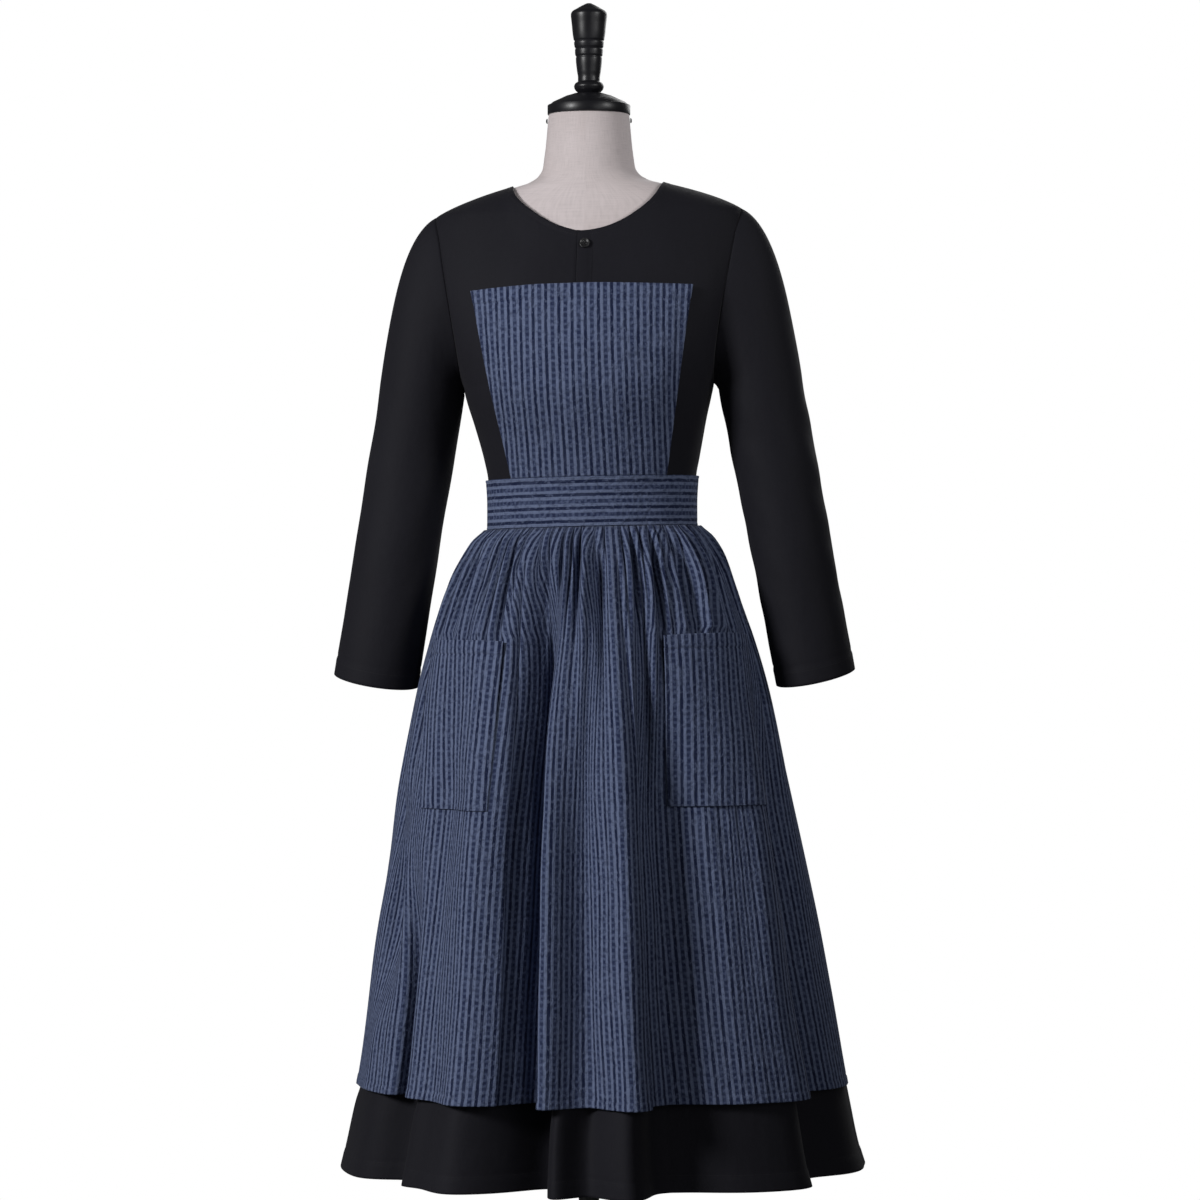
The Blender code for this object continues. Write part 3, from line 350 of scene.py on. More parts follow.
    def height(self, face: Face, across: np.ndarray, row: np.ndarray) -> np.ndarray:
        """Height of a row at a column. Rows are level up to the armpit, then fan out to the neckline."""
        above = self.rows_along_armhole + self.rows_along_shoulder
        even = (row - self.rows_to_armpit) / above
        at_edge = (self.edge_height(row) - ARMPIT) / (NECK_POINT - ARMPIT)
        share = even + (at_edge - even) * np.abs(across) ** 4
        fanned = ARMPIT + share * (self.panel_top(face, across) - ARMPIT)
        return np.where(row <= self.rows_to_armpit, self.edge_height(row), fanned)


@dataclass(frozen=True)
class Fold:
    """One fold of the skirts, or one lean of a fold's edge.

    Its place and half widths are in degrees across at the waist. Its depth is how far it moves the cloth out
    in metres, or sideways in degrees for a lean. It grows from start to full and is gone again at end, as
    shares of the way down.
    """

    at: float
    before: float
    after: float
    depth: float
    start: float
    full: float
    end: float = 9.0


@dataclass(frozen=True)
class PocketSize:
    """Where a pocket's edges cross the apron's columns at its mouth and bottom, those heights, and its width
    laid flat."""

    side: Side
    mouth_span: tuple[float, float]
    bottom_span: tuple[float, float]
    mouth: float
    bottom: float
    flat_width: float


@dataclass(frozen=True)
class SkirtShape:
    """Outer surfaces of the apron skirt and of the dress skirt under it."""

    levels: tuple[tuple[float, ...], ...] = (
        (0.243, 0.3070, 0.3395, 0.3160, 0.3080),
        (0.271, 0.3005, 0.3310, 0.3120, 0.3040),
        (0.320, 0.2900, 0.3210, 0.3040, 0.2960),
        (0.345, 0.2825, 0.3160, 0.3000, 0.2920),
        (0.442, 0.2685, 0.2970, 0.2830, 0.2760),
        (0.564, 0.2520, 0.2740, 0.2600, 0.2560),
        (0.710, 0.2290, 0.2445, 0.2280, 0.2280),
        (0.808, 0.2098, 0.2215, 0.2020, 0.2040),
        (0.881, 0.1895, 0.1990, 0.1780, 0.1820),
        (0.930, 0.1722, 0.1795, 0.1580, 0.1640),
        (0.954, 0.1622, 0.1690, 0.1470, 0.1520),
        (0.979, 0.1528, 0.1590, 0.1330, 0.1370),
        (1.003, 0.1405, 0.1455, 0.1160, 0.1160),
        (1.018, 0.1265, 0.1335, 0.1022, 0.0940),
    )
    long_folds: tuple[Fold, ...] = (
        Fold(-80.0, 5.0, 4.0, -0.018, 0.28, 0.45, 0.70),
        Fold(-72.0, 5.0, 4.0, -0.028, 0.42, 0.66, 0.92),
        Fold(-59.0, 5.0, 4.5, -0.036, 0.55, 0.85),
        Fold(-46.0, 6.0, 5.0, -0.009, 0.15, 0.50),
        Fold(-34.0, 4.5, 5.0, 0.013, 0.15, 0.60),
        Fold(-12.5, 10.5, 2.4, -0.070, 0.00, 0.36),
        Fold(-6.0, 2.2, 3.0, 0.012, 0.10, 0.60),
        Fold(1.5, 6.5, 4.5, -0.024, 0.10, 0.60),
        Fold(13.0, 3.6, 3.2, 0.018, 0.10, 0.70),
        Fold(21.5, 3.5, 4.0, -0.018, 0.00, 0.50),
        Fold(29.0, 6.5, 16.0, -0.042, 0.05, 0.60),
        Fold(66.0, 8.0, 4.0, 0.012, 0.20, 0.60),
        Fold(77.0, 6.5, 7.0, -0.034, 0.18, 0.55),
    )
    short_folds: tuple[Fold, ...] = (
        Fold(-60.0, 2.6, 1.8, -0.013, 0.00, 0.08, 0.36),
        Fold(-43.0, 2.4, 1.4, -0.013, 0.00, 0.07, 0.30),
        Fold(-34.0, 2.4, 1.6, -0.016, 0.00, 0.08, 0.34),
        Fold(-18.0, 2.6, 1.6, -0.017, 0.00, 0.07, 0.34),
        Fold(-2.0, 2.0, 1.6, -0.013, 0.00, 0.07, 0.40),
        Fold(8.5, 2.2, 1.6, -0.015, 0.00, 0.08, 0.36),
        Fold(24.0, 2.4, 1.8, -0.014, 0.00, 0.07, 0.30),
        Fold(34.0, 2.4, 1.6, -0.014, 0.00, 0.08, 0.30),
        Fold(48.0, 2.6, 1.8, -0.014, 0.00, 0.10, 0.30),
    )
    back_folds: tuple[Fold, ...] = (
        Fold(-74.0, 6.0, 7.0, -0.016, 0.10, 0.80),
        Fold(-55.0, 7.0, 6.0, 0.012, 0.15, 0.85),
        Fold(-38.0, 6.0, 7.0, -0.024, 0.10, 0.80),
        Fold(-14.0, 7.0, 6.0, 0.012, 0.15, 0.85),
        Fold(4.0, 6.0, 7.0, -0.026, 0.10, 0.80),
        Fold(26.0, 7.0, 6.0, 0.014, 0.15, 0.85),
        Fold(45.0, 6.0, 7.0, -0.022, 0.10, 0.80),
        Fold(60.0, 6.0, 6.0, -0.006, 0.15, 0.85),
        Fold(78.0, 7.0, 6.0, 0.006, 0.02, 0.20, 0.55),
    )
    gather_levels: tuple[tuple[float, ...], ...] = (
        (-0.100, 0.0000, 0.0000),
        (0.000, 0.0016, 0.0054),
        (0.022, 0.0040, 0.0080),
        (0.060, 0.0048, 0.0105),
        (0.150, 0.0036, 0.0115),
        (0.300, 0.0012, 0.0115),
        (0.500, 0.0000, 0.0090),
        (1.000, 0.0000, 0.0060),
        (1.200, 0.0000, 0.0050),
    )
    fine_gathers: int = 32
    broad_gathers: int = 17
    fine_seed: int = 1
    broad_seed: int = 3
    back_seed: int = 5
    ridge_power: float = 0.7
    wander: tuple[tuple[float, int, float], ...] = ((1.2, 5, 1.0), (1.1, 13, 2.1))
    gather_mean: float = 1.15
    gather_change: float = 0.7
    broad_rise: float = 0.0044
    fine_fade: tuple[float, float] = (0.08, 0.26)
    broad_growth: tuple[float, float] = (0.02, 0.10)
    broad_fade: tuple[float, float] = (0.22, 0.62)
    back_growth: tuple[float, float] = (0.02, 0.12)
    clear_of_dress: float = 0.0022
    pressed_rise: float = 0.0003
    pressed_share: float = 0.5
    cover_beside: float = 1.5
    cover_below: float = 0.008
    cover_above: float = 0.014
    under_width: float = 1.15
    under_valley: float = 1.20
    under_ridge: float = 0.60
    edge_calm: float = 7.0
    drift_left: float = 0.12
    drift_right: float = 0.22
    leans: tuple[Fold, ...] = (
        Fold(-84.0, 4.0, 4.0, 5.5, 0.26, 0.50, 0.95),
        Fold(-75.0, 4.0, 4.0, -3.0, 0.26, 0.50, 0.95),
        Fold(-65.0, 5.0, 3.0, 3.6, 0.55, 0.85),
        Fold(-55.0, 3.0, 4.0, -2.0, 0.55, 0.85),
        Fold(-27.0, 6.0, 1.8, 2.6, 0.05, 0.45),
        Fold(-8.0, 1.8, 5.0, -3.4, 0.04, 0.45),
        Fold(16.5, 4.0, 1.8, 2.4, 0.05, 0.50),
        Fold(70.0, 4.0, 2.0, 1.6, 0.25, 0.70),
    )
    pockets: tuple[PocketSize, ...] = (
        PocketSize(Side.LEFT, (65.5, 88.8), (66.2, 84.6), 0.8870, 0.6875, 0.149),
        PocketSize(Side.RIGHT, (10.0, 31.7), (16.5, 31.4), 0.8790, 0.6825, 0.134),
    )
    bodice: BodiceShape = field(default_factory=BodiceShape)

    def share_down(self, height: np.ndarray) -> np.ndarray:
        """Share of the way from the waistband to the apron's hem."""
        return (BAND_BOTTOM - np.asarray(height, float)) / (BAND_BOTTOM - APRON_HEM)

    def fold_out(
        self, folds: tuple[Fold, ...], degrees: np.ndarray, share: np.ndarray, under: bool = False
    ) -> np.ndarray:
        """How far these folds move the cloth out, or sideways for leans.

        Args:
            folds: the folds.
            degrees: place across at the waist.
            share: share of the way down.
            under: whether this is the cloth under the apron, which follows its folds more widely.

        Returns:
            The distance, in metres or degrees as for the folds' depth.
        """
        wide = self.under_width if under else 1.0
        out = np.zeros(np.broadcast(degrees, share).shape)
        for fold in folds:
            strength = np.where(share < 1, eased(share, fold.start, fold.full), 1.0)
            if fold.end < 1:
                strength = strength * (1 - eased(share, fold.full, fold.end))
            if under:
                strength = strength * (self.under_valley if fold.depth < 0 else self.under_ridge)
            out += fold.depth * strength * bump(degrees - fold.at, fold.before * wide, fold.after * wide)
        return out * (1 - bump(90 - np.abs(degrees), self.edge_calm, self.edge_calm))

    def gather_ridge(self, across: np.ndarray, count: int, seed: int) -> np.ndarray:
        """Rounded ridges with narrow valleys between them, from 0 to 1, unevenly spaced."""
        wander = sum(big * np.sin(turns * math.pi * across + step * seed) for big, turns, step in self.wander)
        phase = math.pi * (count / 2) * (across + 1) + wander / 2
        return np.abs(np.sin(phase)) ** self.ridge_power

    def under_pockets(self, across: np.ndarray, height: np.ndarray) -> np.ndarray:
        """Where the pockets lie on the apron, from 0 to 1 with soft edges."""
        column = (across + 1) * APRON_COLUMNS / 2
        cover = np.zeros(np.broadcast(across, height).shape)
        for size in self.pockets:
            up = np.clip((height - size.bottom) / (size.mouth - size.bottom), 0, 1)
            first, last = (low + (high - low) * up for low, high in zip(size.bottom_span, size.mouth_span))
            margin = self.cover_beside
            beside = eased(column - first, -margin, 0) * (1 - eased(column - last, 0, margin))
            above = eased(height, size.bottom - self.cover_below, size.bottom)
            below = 1 - eased(height, size.mouth, size.mouth + self.cover_above)
            cover = np.maximum(cover, beside * (above * below))
        return cover

    def gathers(self, across: np.ndarray, share: np.ndarray) -> np.ndarray:
        """How far the apron's gathers move the cloth out."""
        swing, room = (read(share) for read in curves(self.gather_levels))
        uneven = self.gather_mean + self.gather_change * np.sin(23 * across + 0.7) * np.sin(41 * across + 2.0)
        fine_ridge = 2 * self.gather_ridge(across, self.fine_gathers, self.fine_seed) - 1
        broad_ridge = 2 * self.gather_ridge(across, self.broad_gathers, self.broad_seed) - 1
        fine = swing * (1 - eased(share, *self.fine_fade)) * fine_ridge
        merged = self.broad_rise * eased(share, *self.broad_growth) * (1 - eased(share, *self.broad_fade))
        out = uneven * (fine + merged * broad_ridge)
        cover = self.under_pockets(across, BAND_BOTTOM - share * (BAND_BOTTOM - APRON_HEM))
        pressed = np.minimum(out, self.pressed_rise + self.pressed_share * swing)
        return np.maximum(out + cover * (pressed - out), self.clear_of_dress - room)

    def angle(self, across: np.ndarray, share: np.ndarray) -> np.ndarray:
        """Angle round the skirt of a thread that starts at across of the front half."""
        drift = np.where(across < 0, self.drift_left, self.drift_right)
        settled = 1 - (1 - np.clip(share, 0, 1)) ** 2
        return across * math.pi / 2 * (1 - drift * settled * (1 - np.abs(across) ** 6))

    def ring(self, angle: np.ndarray, height: np.ndarray, out: np.ndarray) -> np.ndarray:
        """Points at this angle and height, moved out from the skirt's smooth outline."""
        left, right, front, back = (read(height) for read in curves(self.levels))
        depth = np.where(np.abs(angle) <= math.pi / 2, front, back)
        half = (right + left) / 2
        spoke_x, spoke_y = half * np.sin(angle), -depth * np.cos(angle)
        grow = 1 + out / np.hypot(spoke_x, spoke_y)
        x = (right - left) / 2 + spoke_x * grow
        return stacked(x, spoke_y * grow, height + dress_tilt(x, height))

    def apron(self, across: np.ndarray, height: np.ndarray, gathered: bool = True) -> np.ndarray:
        """Points of the apron skirt. The pockets lie on it without its gathers and short folds."""
        share = self.share_down(height)
        degrees = across * 90
        out = self.fold_out(self.long_folds, degrees, share)
        if gathered:
            out = out + self.fold_out(self.short_folds, degrees, share) + self.gathers(across, share)
        lean = np.radians(self.fold_out(self.leans, degrees, share))
        return self.ring(self.angle(across, share) + lean, height, out)

    def dress(self, face: Face, across: np.ndarray, height: np.ndarray) -> np.ndarray:
        """Points of the dress skirt, inside the apron in front and with folds of its own behind."""
        share = self.share_down(height)
        degrees = across * 90
        inset = curves(self.gather_levels)[1](share)
        if face is Face.FRONT:
            out = self.fold_out(self.long_folds, degrees, share, True)
            out = out + self.fold_out(self.short_folds, degrees, share, True)
            angle = self.angle(across, share)
        else:
            ridge = self.gather_ridge(across, self.broad_gathers, self.back_seed)
            out = self.fold_out(self.back_folds, degrees, share)
            out = out + curves(self.gather_levels)[0](share) * (2 * ridge - 1)
            edges = bump(90 - np.abs(degrees), self.edge_calm, self.edge_calm)
            out = out + inset * eased(share, *self.back_growth) * (1 - edges)
            angle = math.pi - across * math.pi / 2
            angle = np.where(angle <= math.pi, angle, angle - 2 * math.pi)
        skirt = self.ring(angle, np.minimum(height, BAND_BOTTOM), out - inset)
        waist = self.bodice.point(face, across, np.full(np.shape(across), DRESS_WAIST))
        blend = np.clip((height - BAND_BOTTOM) / (DRESS_WAIST - BAND_BOTTOM), 0, 1)[..., None]
        return skirt * (1 - blend) + waist * blend


# Cloth


@dataclass
class ClothPanel:
    """A sheet of cloth laid out as rows and columns of points.

    points holds the outer face, flat the place of each point on the cut cloth, both by row and column.
    centre is what the outer face looks away from: the pole unless given. A wall of 0 leaves the sheet bare.
    """

    name: str
    points: np.ndarray
    flat: np.ndarray
    wall: float
    closed: bool = False
    centre: np.ndarray | None = None
    normals: np.ndarray = field(init=False)

    def __post_init__(self) -> None:
        """Turns the grid so that its outer face looks outwards."""
        outward = self.points * (1, 1, 0) if self.centre is None else self.points - self.centre
        if np.sum(self.directions() * outward) < 0:
            self.points, self.flat = self.points[:, ::-1], self.flat[:, ::-1]
        self.normals = self.directions()

    def directions(self) -> np.ndarray:
        """Directions square to the sheet at each point."""
        points = self.points
        if self.closed:
            points = np.concatenate((points[:, -2:-1], points, points[:, 1:2]), axis=1)
        sideways = np.gradient(points, axis=1)
        along = np.gradient(points, axis=0)
        normals = unit(np.cross(sideways, along))
        return normals[:, 1:-1] if self.closed else normals

    def lift(self, distance: np.ndarray) -> None:
        """Moves each point along its own outward direction."""
        self.points = self.points + self.normals * np.broadcast_to(distance, self.points.shape[:2])[..., None]

    def trace(self, rows: np.ndarray, columns: np.ndarray) -> Line:
        """Points and outward directions along a line over the sheet.

        Args:
            rows: the line's rows, with fractions.
            columns: the line's columns, with fractions.

        Returns:
            The points and the directions.
        """
        r = np.clip(np.floor(rows).astype(int), 0, self.points.shape[0] - 2)
        c = np.clip(np.floor(columns).astype(int), 0, self.points.shape[1] - 2)
        a, b = (rows - r)[:, None], (columns - c)[:, None]
        read = [
            grid[r, c] * (1 - a) * (1 - b)
            + grid[r + 1, c] * a * (1 - b)
            + grid[r, c + 1] * (1 - a) * b
            + grid[r + 1, c + 1] * a * b
            for grid in (self.points, self.normals)
        ]
        return read[0], unit(read[1])

    def along_row(self, row: float, first: float, last: float, points: int) -> Line:
        """A line along one row of the sheet, from its first to its last column."""
        return self.trace(np.full(points, row), np.linspace(first, last, points))

    def along_column(self, column: float, first: float, last: float, points: int) -> Line:
        """A line along one column of the sheet, from its first to its last row."""
        return self.trace(np.linspace(first, last, points), np.full(points, column))

    def build(self, paint: bpy.types.Material) -> bpy.types.Object:
        """Makes the sheet's mesh with its flat cut as UV map, and gives it its wall.

        Args:
            paint: the cloth's material.

        Returns:
            The new object.
        """
        rows, columns = self.points.shape[:2]
        builder = bmesh.new()
        bmesh.ops.create_grid(builder, x_segments=columns - 1, y_segments=rows - 1, size=1.0)
        mesh = finished(builder, self.name)
        places = np.empty(len(mesh.vertices) * 3)
        mesh.vertices.foreach_get("co", places)
        places = places.reshape(-1, 3)
        column = np.rint((places[:, 0] + 1) / 2 * (columns - 1)).astype(int)
        row = np.rint((places[:, 1] + 1) / 2 * (rows - 1)).astype(int)
        mesh.vertices.foreach_set("co", self.points[row, column].ravel())
        corner = np.empty(len(mesh.loops), dtype=np.int32)
        mesh.loops.foreach_get("vertex_index", corner)
        layer = mesh.uv_layers.new(name=FLAT_PATTERN)
        layer.data.foreach_set("uv", self.flat[row[corner], column[corner]].astype(np.float32).ravel())
        if self.closed:
            weld(mesh)
        mesh.shade_smooth()
        thing = placed(self.name, mesh, paint)
        if self.wall > 0:
            thickness = thing.modifiers.new("wall", "SOLIDIFY")
            thickness.thickness = self.wall
            thickness.offset = -1.0
        return thing


def finished(builder: bmesh.types.BMesh, name: str) -> bpy.types.Mesh:
    """A new mesh from a builder, which is freed."""
    mesh = bpy.data.meshes.new(name)
    builder.to_mesh(mesh)
    builder.free()
    return mesh


def weld(mesh: bpy.types.Mesh) -> None:
    """Merges a mesh's doubled points."""
    builder = bmesh.new()
    builder.from_mesh(mesh)
    bmesh.ops.remove_doubles(builder, verts=builder.verts, dist=1e-6)
    builder.to_mesh(mesh)
    builder.free()


def placed(name: str, mesh: bpy.types.Mesh, paint: bpy.types.Material) -> bpy.types.Object:
    """Links a mesh as an object that rides on the part.

    Args:
        name: the object's name.
        mesh: its mesh, in place.
        paint: its material.

    Returns:
        The new object.
    """
    mesh.materials.append(paint)
    thing = bpy.data.objects.new(name, mesh)
    bpy.context.scene.collection.objects.link(thing)
    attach(thing, "root")
    LOG.info("%s: %d points", name, len(mesh.vertices))
    return thing


def along_rows(points: np.ndarray) -> np.ndarray:
    """Length along each row, from its middle column."""
    steps = np.linalg.norm(np.diff(points, axis=1), axis=-1)
    run = np.concatenate((np.zeros((len(points), 1)), np.cumsum(steps, axis=1)), axis=1)
    return run - run[:, run.shape[1] // 2][:, None]


def down_columns(points: np.ndarray) -> np.ndarray:
    """Length from the first row to each row, the same for all its columns."""
    steps = np.median(np.linalg.norm(np.diff(points, axis=0), axis=-1), axis=1)
    run = np.concatenate(([0.0], np.cumsum(steps)))
    return np.repeat(run[:, None], points.shape[1], axis=1)


def turned_fold(distance: np.ndarray, width: float, rise: float) -> np.ndarray:
    """Relief of a hem: one more layer up to the seam, and the seam's own dent.

    Args:
        distance: distance from the cloth's edge.
        width: distance of the hem's seam from the edge.
        rise: thickness of the hem's layer.

    Returns:
        How far the cloth stands out.
    """
    layer = rise * (1 - eased(distance, width - SEAM_BEFORE, width + SEAM_AFTER))
    return layer - SEAM_DENT_DEPTH * rise * bump(distance - width, SEAM_DENT_WIDTH, SEAM_DENT_WIDTH)


def read_along(at: float, run: np.ndarray, grid: np.ndarray) -> Vector:
    """The point or direction at a distance along a line."""
    return Vector([float(np.interp(at, run, grid[:, k])) for k in range(3)])


@dataclass(frozen=True)
class Stitching:
    """A run of single stitches along a line on the cloth."""

    pitch: float = 0.0030
    length: float = 0.0021
    width: float = 0.00035
    sink: float = 0.00005
    look_ahead: float = 0.001

    def lay(self, name: str, runs: list[Line], paint: bpy.types.Material) -> bpy.types.Object:
        """Makes the stitches of several runs as one object.

        Args:
            name: the object's name.
            runs: points and outward directions of each run's line.
            paint: the thread's material.

        Returns:
            The new object.
        """
        builder = bmesh.new()
        for points, normals in runs:
            run = np.concatenate(([0.0], np.cumsum(np.linalg.norm(np.diff(points, axis=0), axis=-1))))
            for at in np.arange(self.pitch / 2, run[-1], self.pitch):
                here = read_along(at, run, points)
                ahead = read_along(at + self.look_ahead, run, points)
                behind = read_along(at - self.look_ahead, run, points)
                up = read_along(at, run, normals).normalized()
                side = up.cross(ahead - behind).normalized()
                turn = Matrix((side.cross(up), side, up)).transposed().to_4x4()
                size = Matrix.Diagonal((self.length / 2, self.width / 2, self.width / 2, 1))
                spot = Matrix.Translation(here + up * (self.width / 2 - self.sink))
                bmesh.ops.create_icosphere(builder, subdivisions=1, radius=1.0, matrix=spot @ turn @ size)
        mesh = finished(builder, name)
        mesh.shade_smooth()
        return placed(name, mesh, paint)


# Finishes


class Nodes:
    """Adds and links the nodes of one tree."""

    def __init__(self, tree: bpy.types.NodeTree) -> None:
        """Keeps the tree to add to."""
        self.tree = tree

    def add(self, kind: str, inputs: dict | None = None, **settings: object) -> bpy.types.Node:
        """Adds a node.

        Args:
            kind: the node's type.
            inputs: what goes into its sockets, by name or number: a value, or an output to link.
            settings: the node's own settings.

        Returns:
            The new node.
        """
        node = self.tree.nodes.new(kind)
        for setting, value in settings.items():
            setattr(node, setting, value)
        for socket, value in (inputs or {}).items():
            if isinstance(value, bpy.types.NodeSocket):
                self.tree.links.new(value, node.inputs[socket])
            else:
                node.inputs[socket].default_value = value
        return node

    def math(self, operation: str, *values: object) -> bpy.types.NodeSocket:
        """The result of a Math node."""
        return self.add("ShaderNodeMath", dict(enumerate(values)), operation=operation).outputs[0]

    def mix(self, factor: object, first: object, second: object) -> bpy.types.NodeSocket:
        """A colour mixed from two."""
        inputs = {0: factor, 6: first, 7: second}
        return self.add("ShaderNodeMix", inputs, data_type="RGBA").outputs[2]

    def soft_step(self, value: object, low: float, high: float) -> bpy.types.NodeSocket:
        """0 below low and 1 above high, smoothly."""
        inputs = {"Value": value, "From Min": low, "From Max": high}
        return self.add("ShaderNodeMapRange", inputs, interpolation_type="SMOOTHSTEP").outputs[0]

    def noise(self, vector: object, scale: float, detail: float = 2.0) -> bpy.types.NodeSocket:
        """Noise from 0 to 1."""
        inputs = {"Vector": vector, "Scale": scale, "Detail": detail}
        return self.add("ShaderNodeTexNoise", inputs).outputs["Fac"]

    def scaled(self, vector: object, x: float, y: float, z: float = 1.0) -> bpy.types.NodeSocket:
        """A vector scaled by its own amount each way."""
        return self.add("ShaderNodeMapping", {"Vector": vector, "Scale": (x, y, z)}).outputs[0]

    def bump(
        self, height: object, distance: float, strength: float, normal: object = None
    ) -> bpy.types.NodeSocket:
        """The normal of a relief."""
        inputs = {"Height": height, "Distance": distance, "Strength": strength}
        if normal is not None:
            inputs["Normal"] = normal
        return self.add("ShaderNodeBump", inputs).outputs[0]


def rgba(colour: Colour) -> tuple[float, float, float, float]:
    """A colour with full opacity."""
    return (*colour, 1.0)


def new_group(name: str, inputs: dict[str, str], outputs: dict[str, str]) -> tuple[bpy.types.NodeTree, Nodes]:
    """An empty node group with named sockets.

    Args:
        name: the group's name.
        inputs: socket types by name.
        outputs: socket types by name.

    Returns:
        The group and the helper that fills it.
    """
    tree = bpy.data.node_groups.new(name, "ShaderNodeTree")
    for way, sockets in (("INPUT", inputs), ("OUTPUT", outputs)):
        for socket, kind in sockets.items():
            tree.interface.new_socket(name=socket, in_out=way, socket_type=kind)
    return tree, Nodes(tree)


def weave_group() -> bpy.types.NodeTree:
    """Plain weave: threads that pass over and under each other, with uneven threads."""
    number, vector = "NodeSocketFloat", "NodeSocketVector"
    inputs = {"Vector": vector, "Thread": number}
    tree, nodes = new_group("plain weave", inputs, {"Height": number, "Shade": number})
    given = nodes.add("NodeGroupInput").outputs
    u, v, _ = nodes.add("ShaderNodeSeparateXYZ", {0: given["Vector"]}).outputs
    turn = nodes.math("DIVIDE", math.pi, given["Thread"])
    warp = nodes.math("SINE", nodes.math("MULTIPLY", u, turn))
    weft = nodes.math("SINE", nodes.math("MULTIPLY", v, turn))
    height = nodes.math("MULTIPLY_ADD", nodes.math("MULTIPLY", warp, weft), 0.5, 0.5)
    slubs = nodes.noise(nodes.scaled(given["Vector"], 900.0, 60.0), 1.0, 1.0)
    picks = nodes.noise(nodes.scaled(given["Vector"], 60.0, 900.0), 1.0, 1.0)
    threads = nodes.math("ADD", slubs, picks)
    # Shade: the threads' uneven tone, plus painted shade where the weave's threads pass under.
    shade = nodes.math("MULTIPLY_ADD", threads, 0.5, nodes.math("MULTIPLY", height, 0.3))
    nodes.add("NodeGroupOutput", {"Height": height, "Shade": shade})
    return tree


def rumple_group() -> bpy.types.NodeTree:
    """Soft rumples of handled cloth, and the tone that goes with them."""
    number, vector = "NodeSocketFloat", "NodeSocketVector"
    inputs = {"Vector": vector, "Across": number, "Along": number}
    tree, nodes = new_group("rumples", inputs, {"Height": number, "Tone": number})
    given = nodes.add("NodeGroupInput").outputs
    u, v, _ = nodes.add("ShaderNodeSeparateXYZ", {0: given["Vector"]}).outputs
    wide = nodes.math("DIVIDE", u, given["Across"])
    long = nodes.math("DIVIDE", v, given["Along"])
    place = nodes.add("ShaderNodeCombineXYZ", {0: wide, 1: long}).outputs[0]
    height = nodes.noise(place, 1.0, 3.0)
    tone = nodes.noise(nodes.scaled(place, 0.21, 0.21), 1.0, 2.0)
    nodes.add("NodeGroupOutput", {"Height": height, "Tone": tone})
    return tree


@dataclass
class Groups:
    """The node groups that several finishes share."""

    weave: bpy.types.NodeTree = field(default_factory=weave_group)
    rumples: bpy.types.NodeTree = field(default_factory=rumple_group)


def new_paint(name: str) -> tuple[bpy.types.Material, Nodes, bpy.types.Node]:
    """A material with its helper and its main shader."""
    paint = bpy.data.materials.new(name)
    paint.use_nodes = True
    return paint, Nodes(paint.node_tree), paint.node_tree.nodes["Principled BSDF"]


def settle(shader: bpy.types.Node, links: dict[str, bpy.types.NodeSocket], **values: object) -> None:
    """Sets a shader's sockets.

    Args:
        shader: the main shader.
        links: outputs to link, by socket name.
        values: plain values, by socket name with _ for spaces.
    """
    for socket, value in values.items():
        shader.inputs[socket.replace("_", " ")].default_value = value
    for socket, output in links.items():
        shader.id_data.links.new(output, shader.inputs[socket])


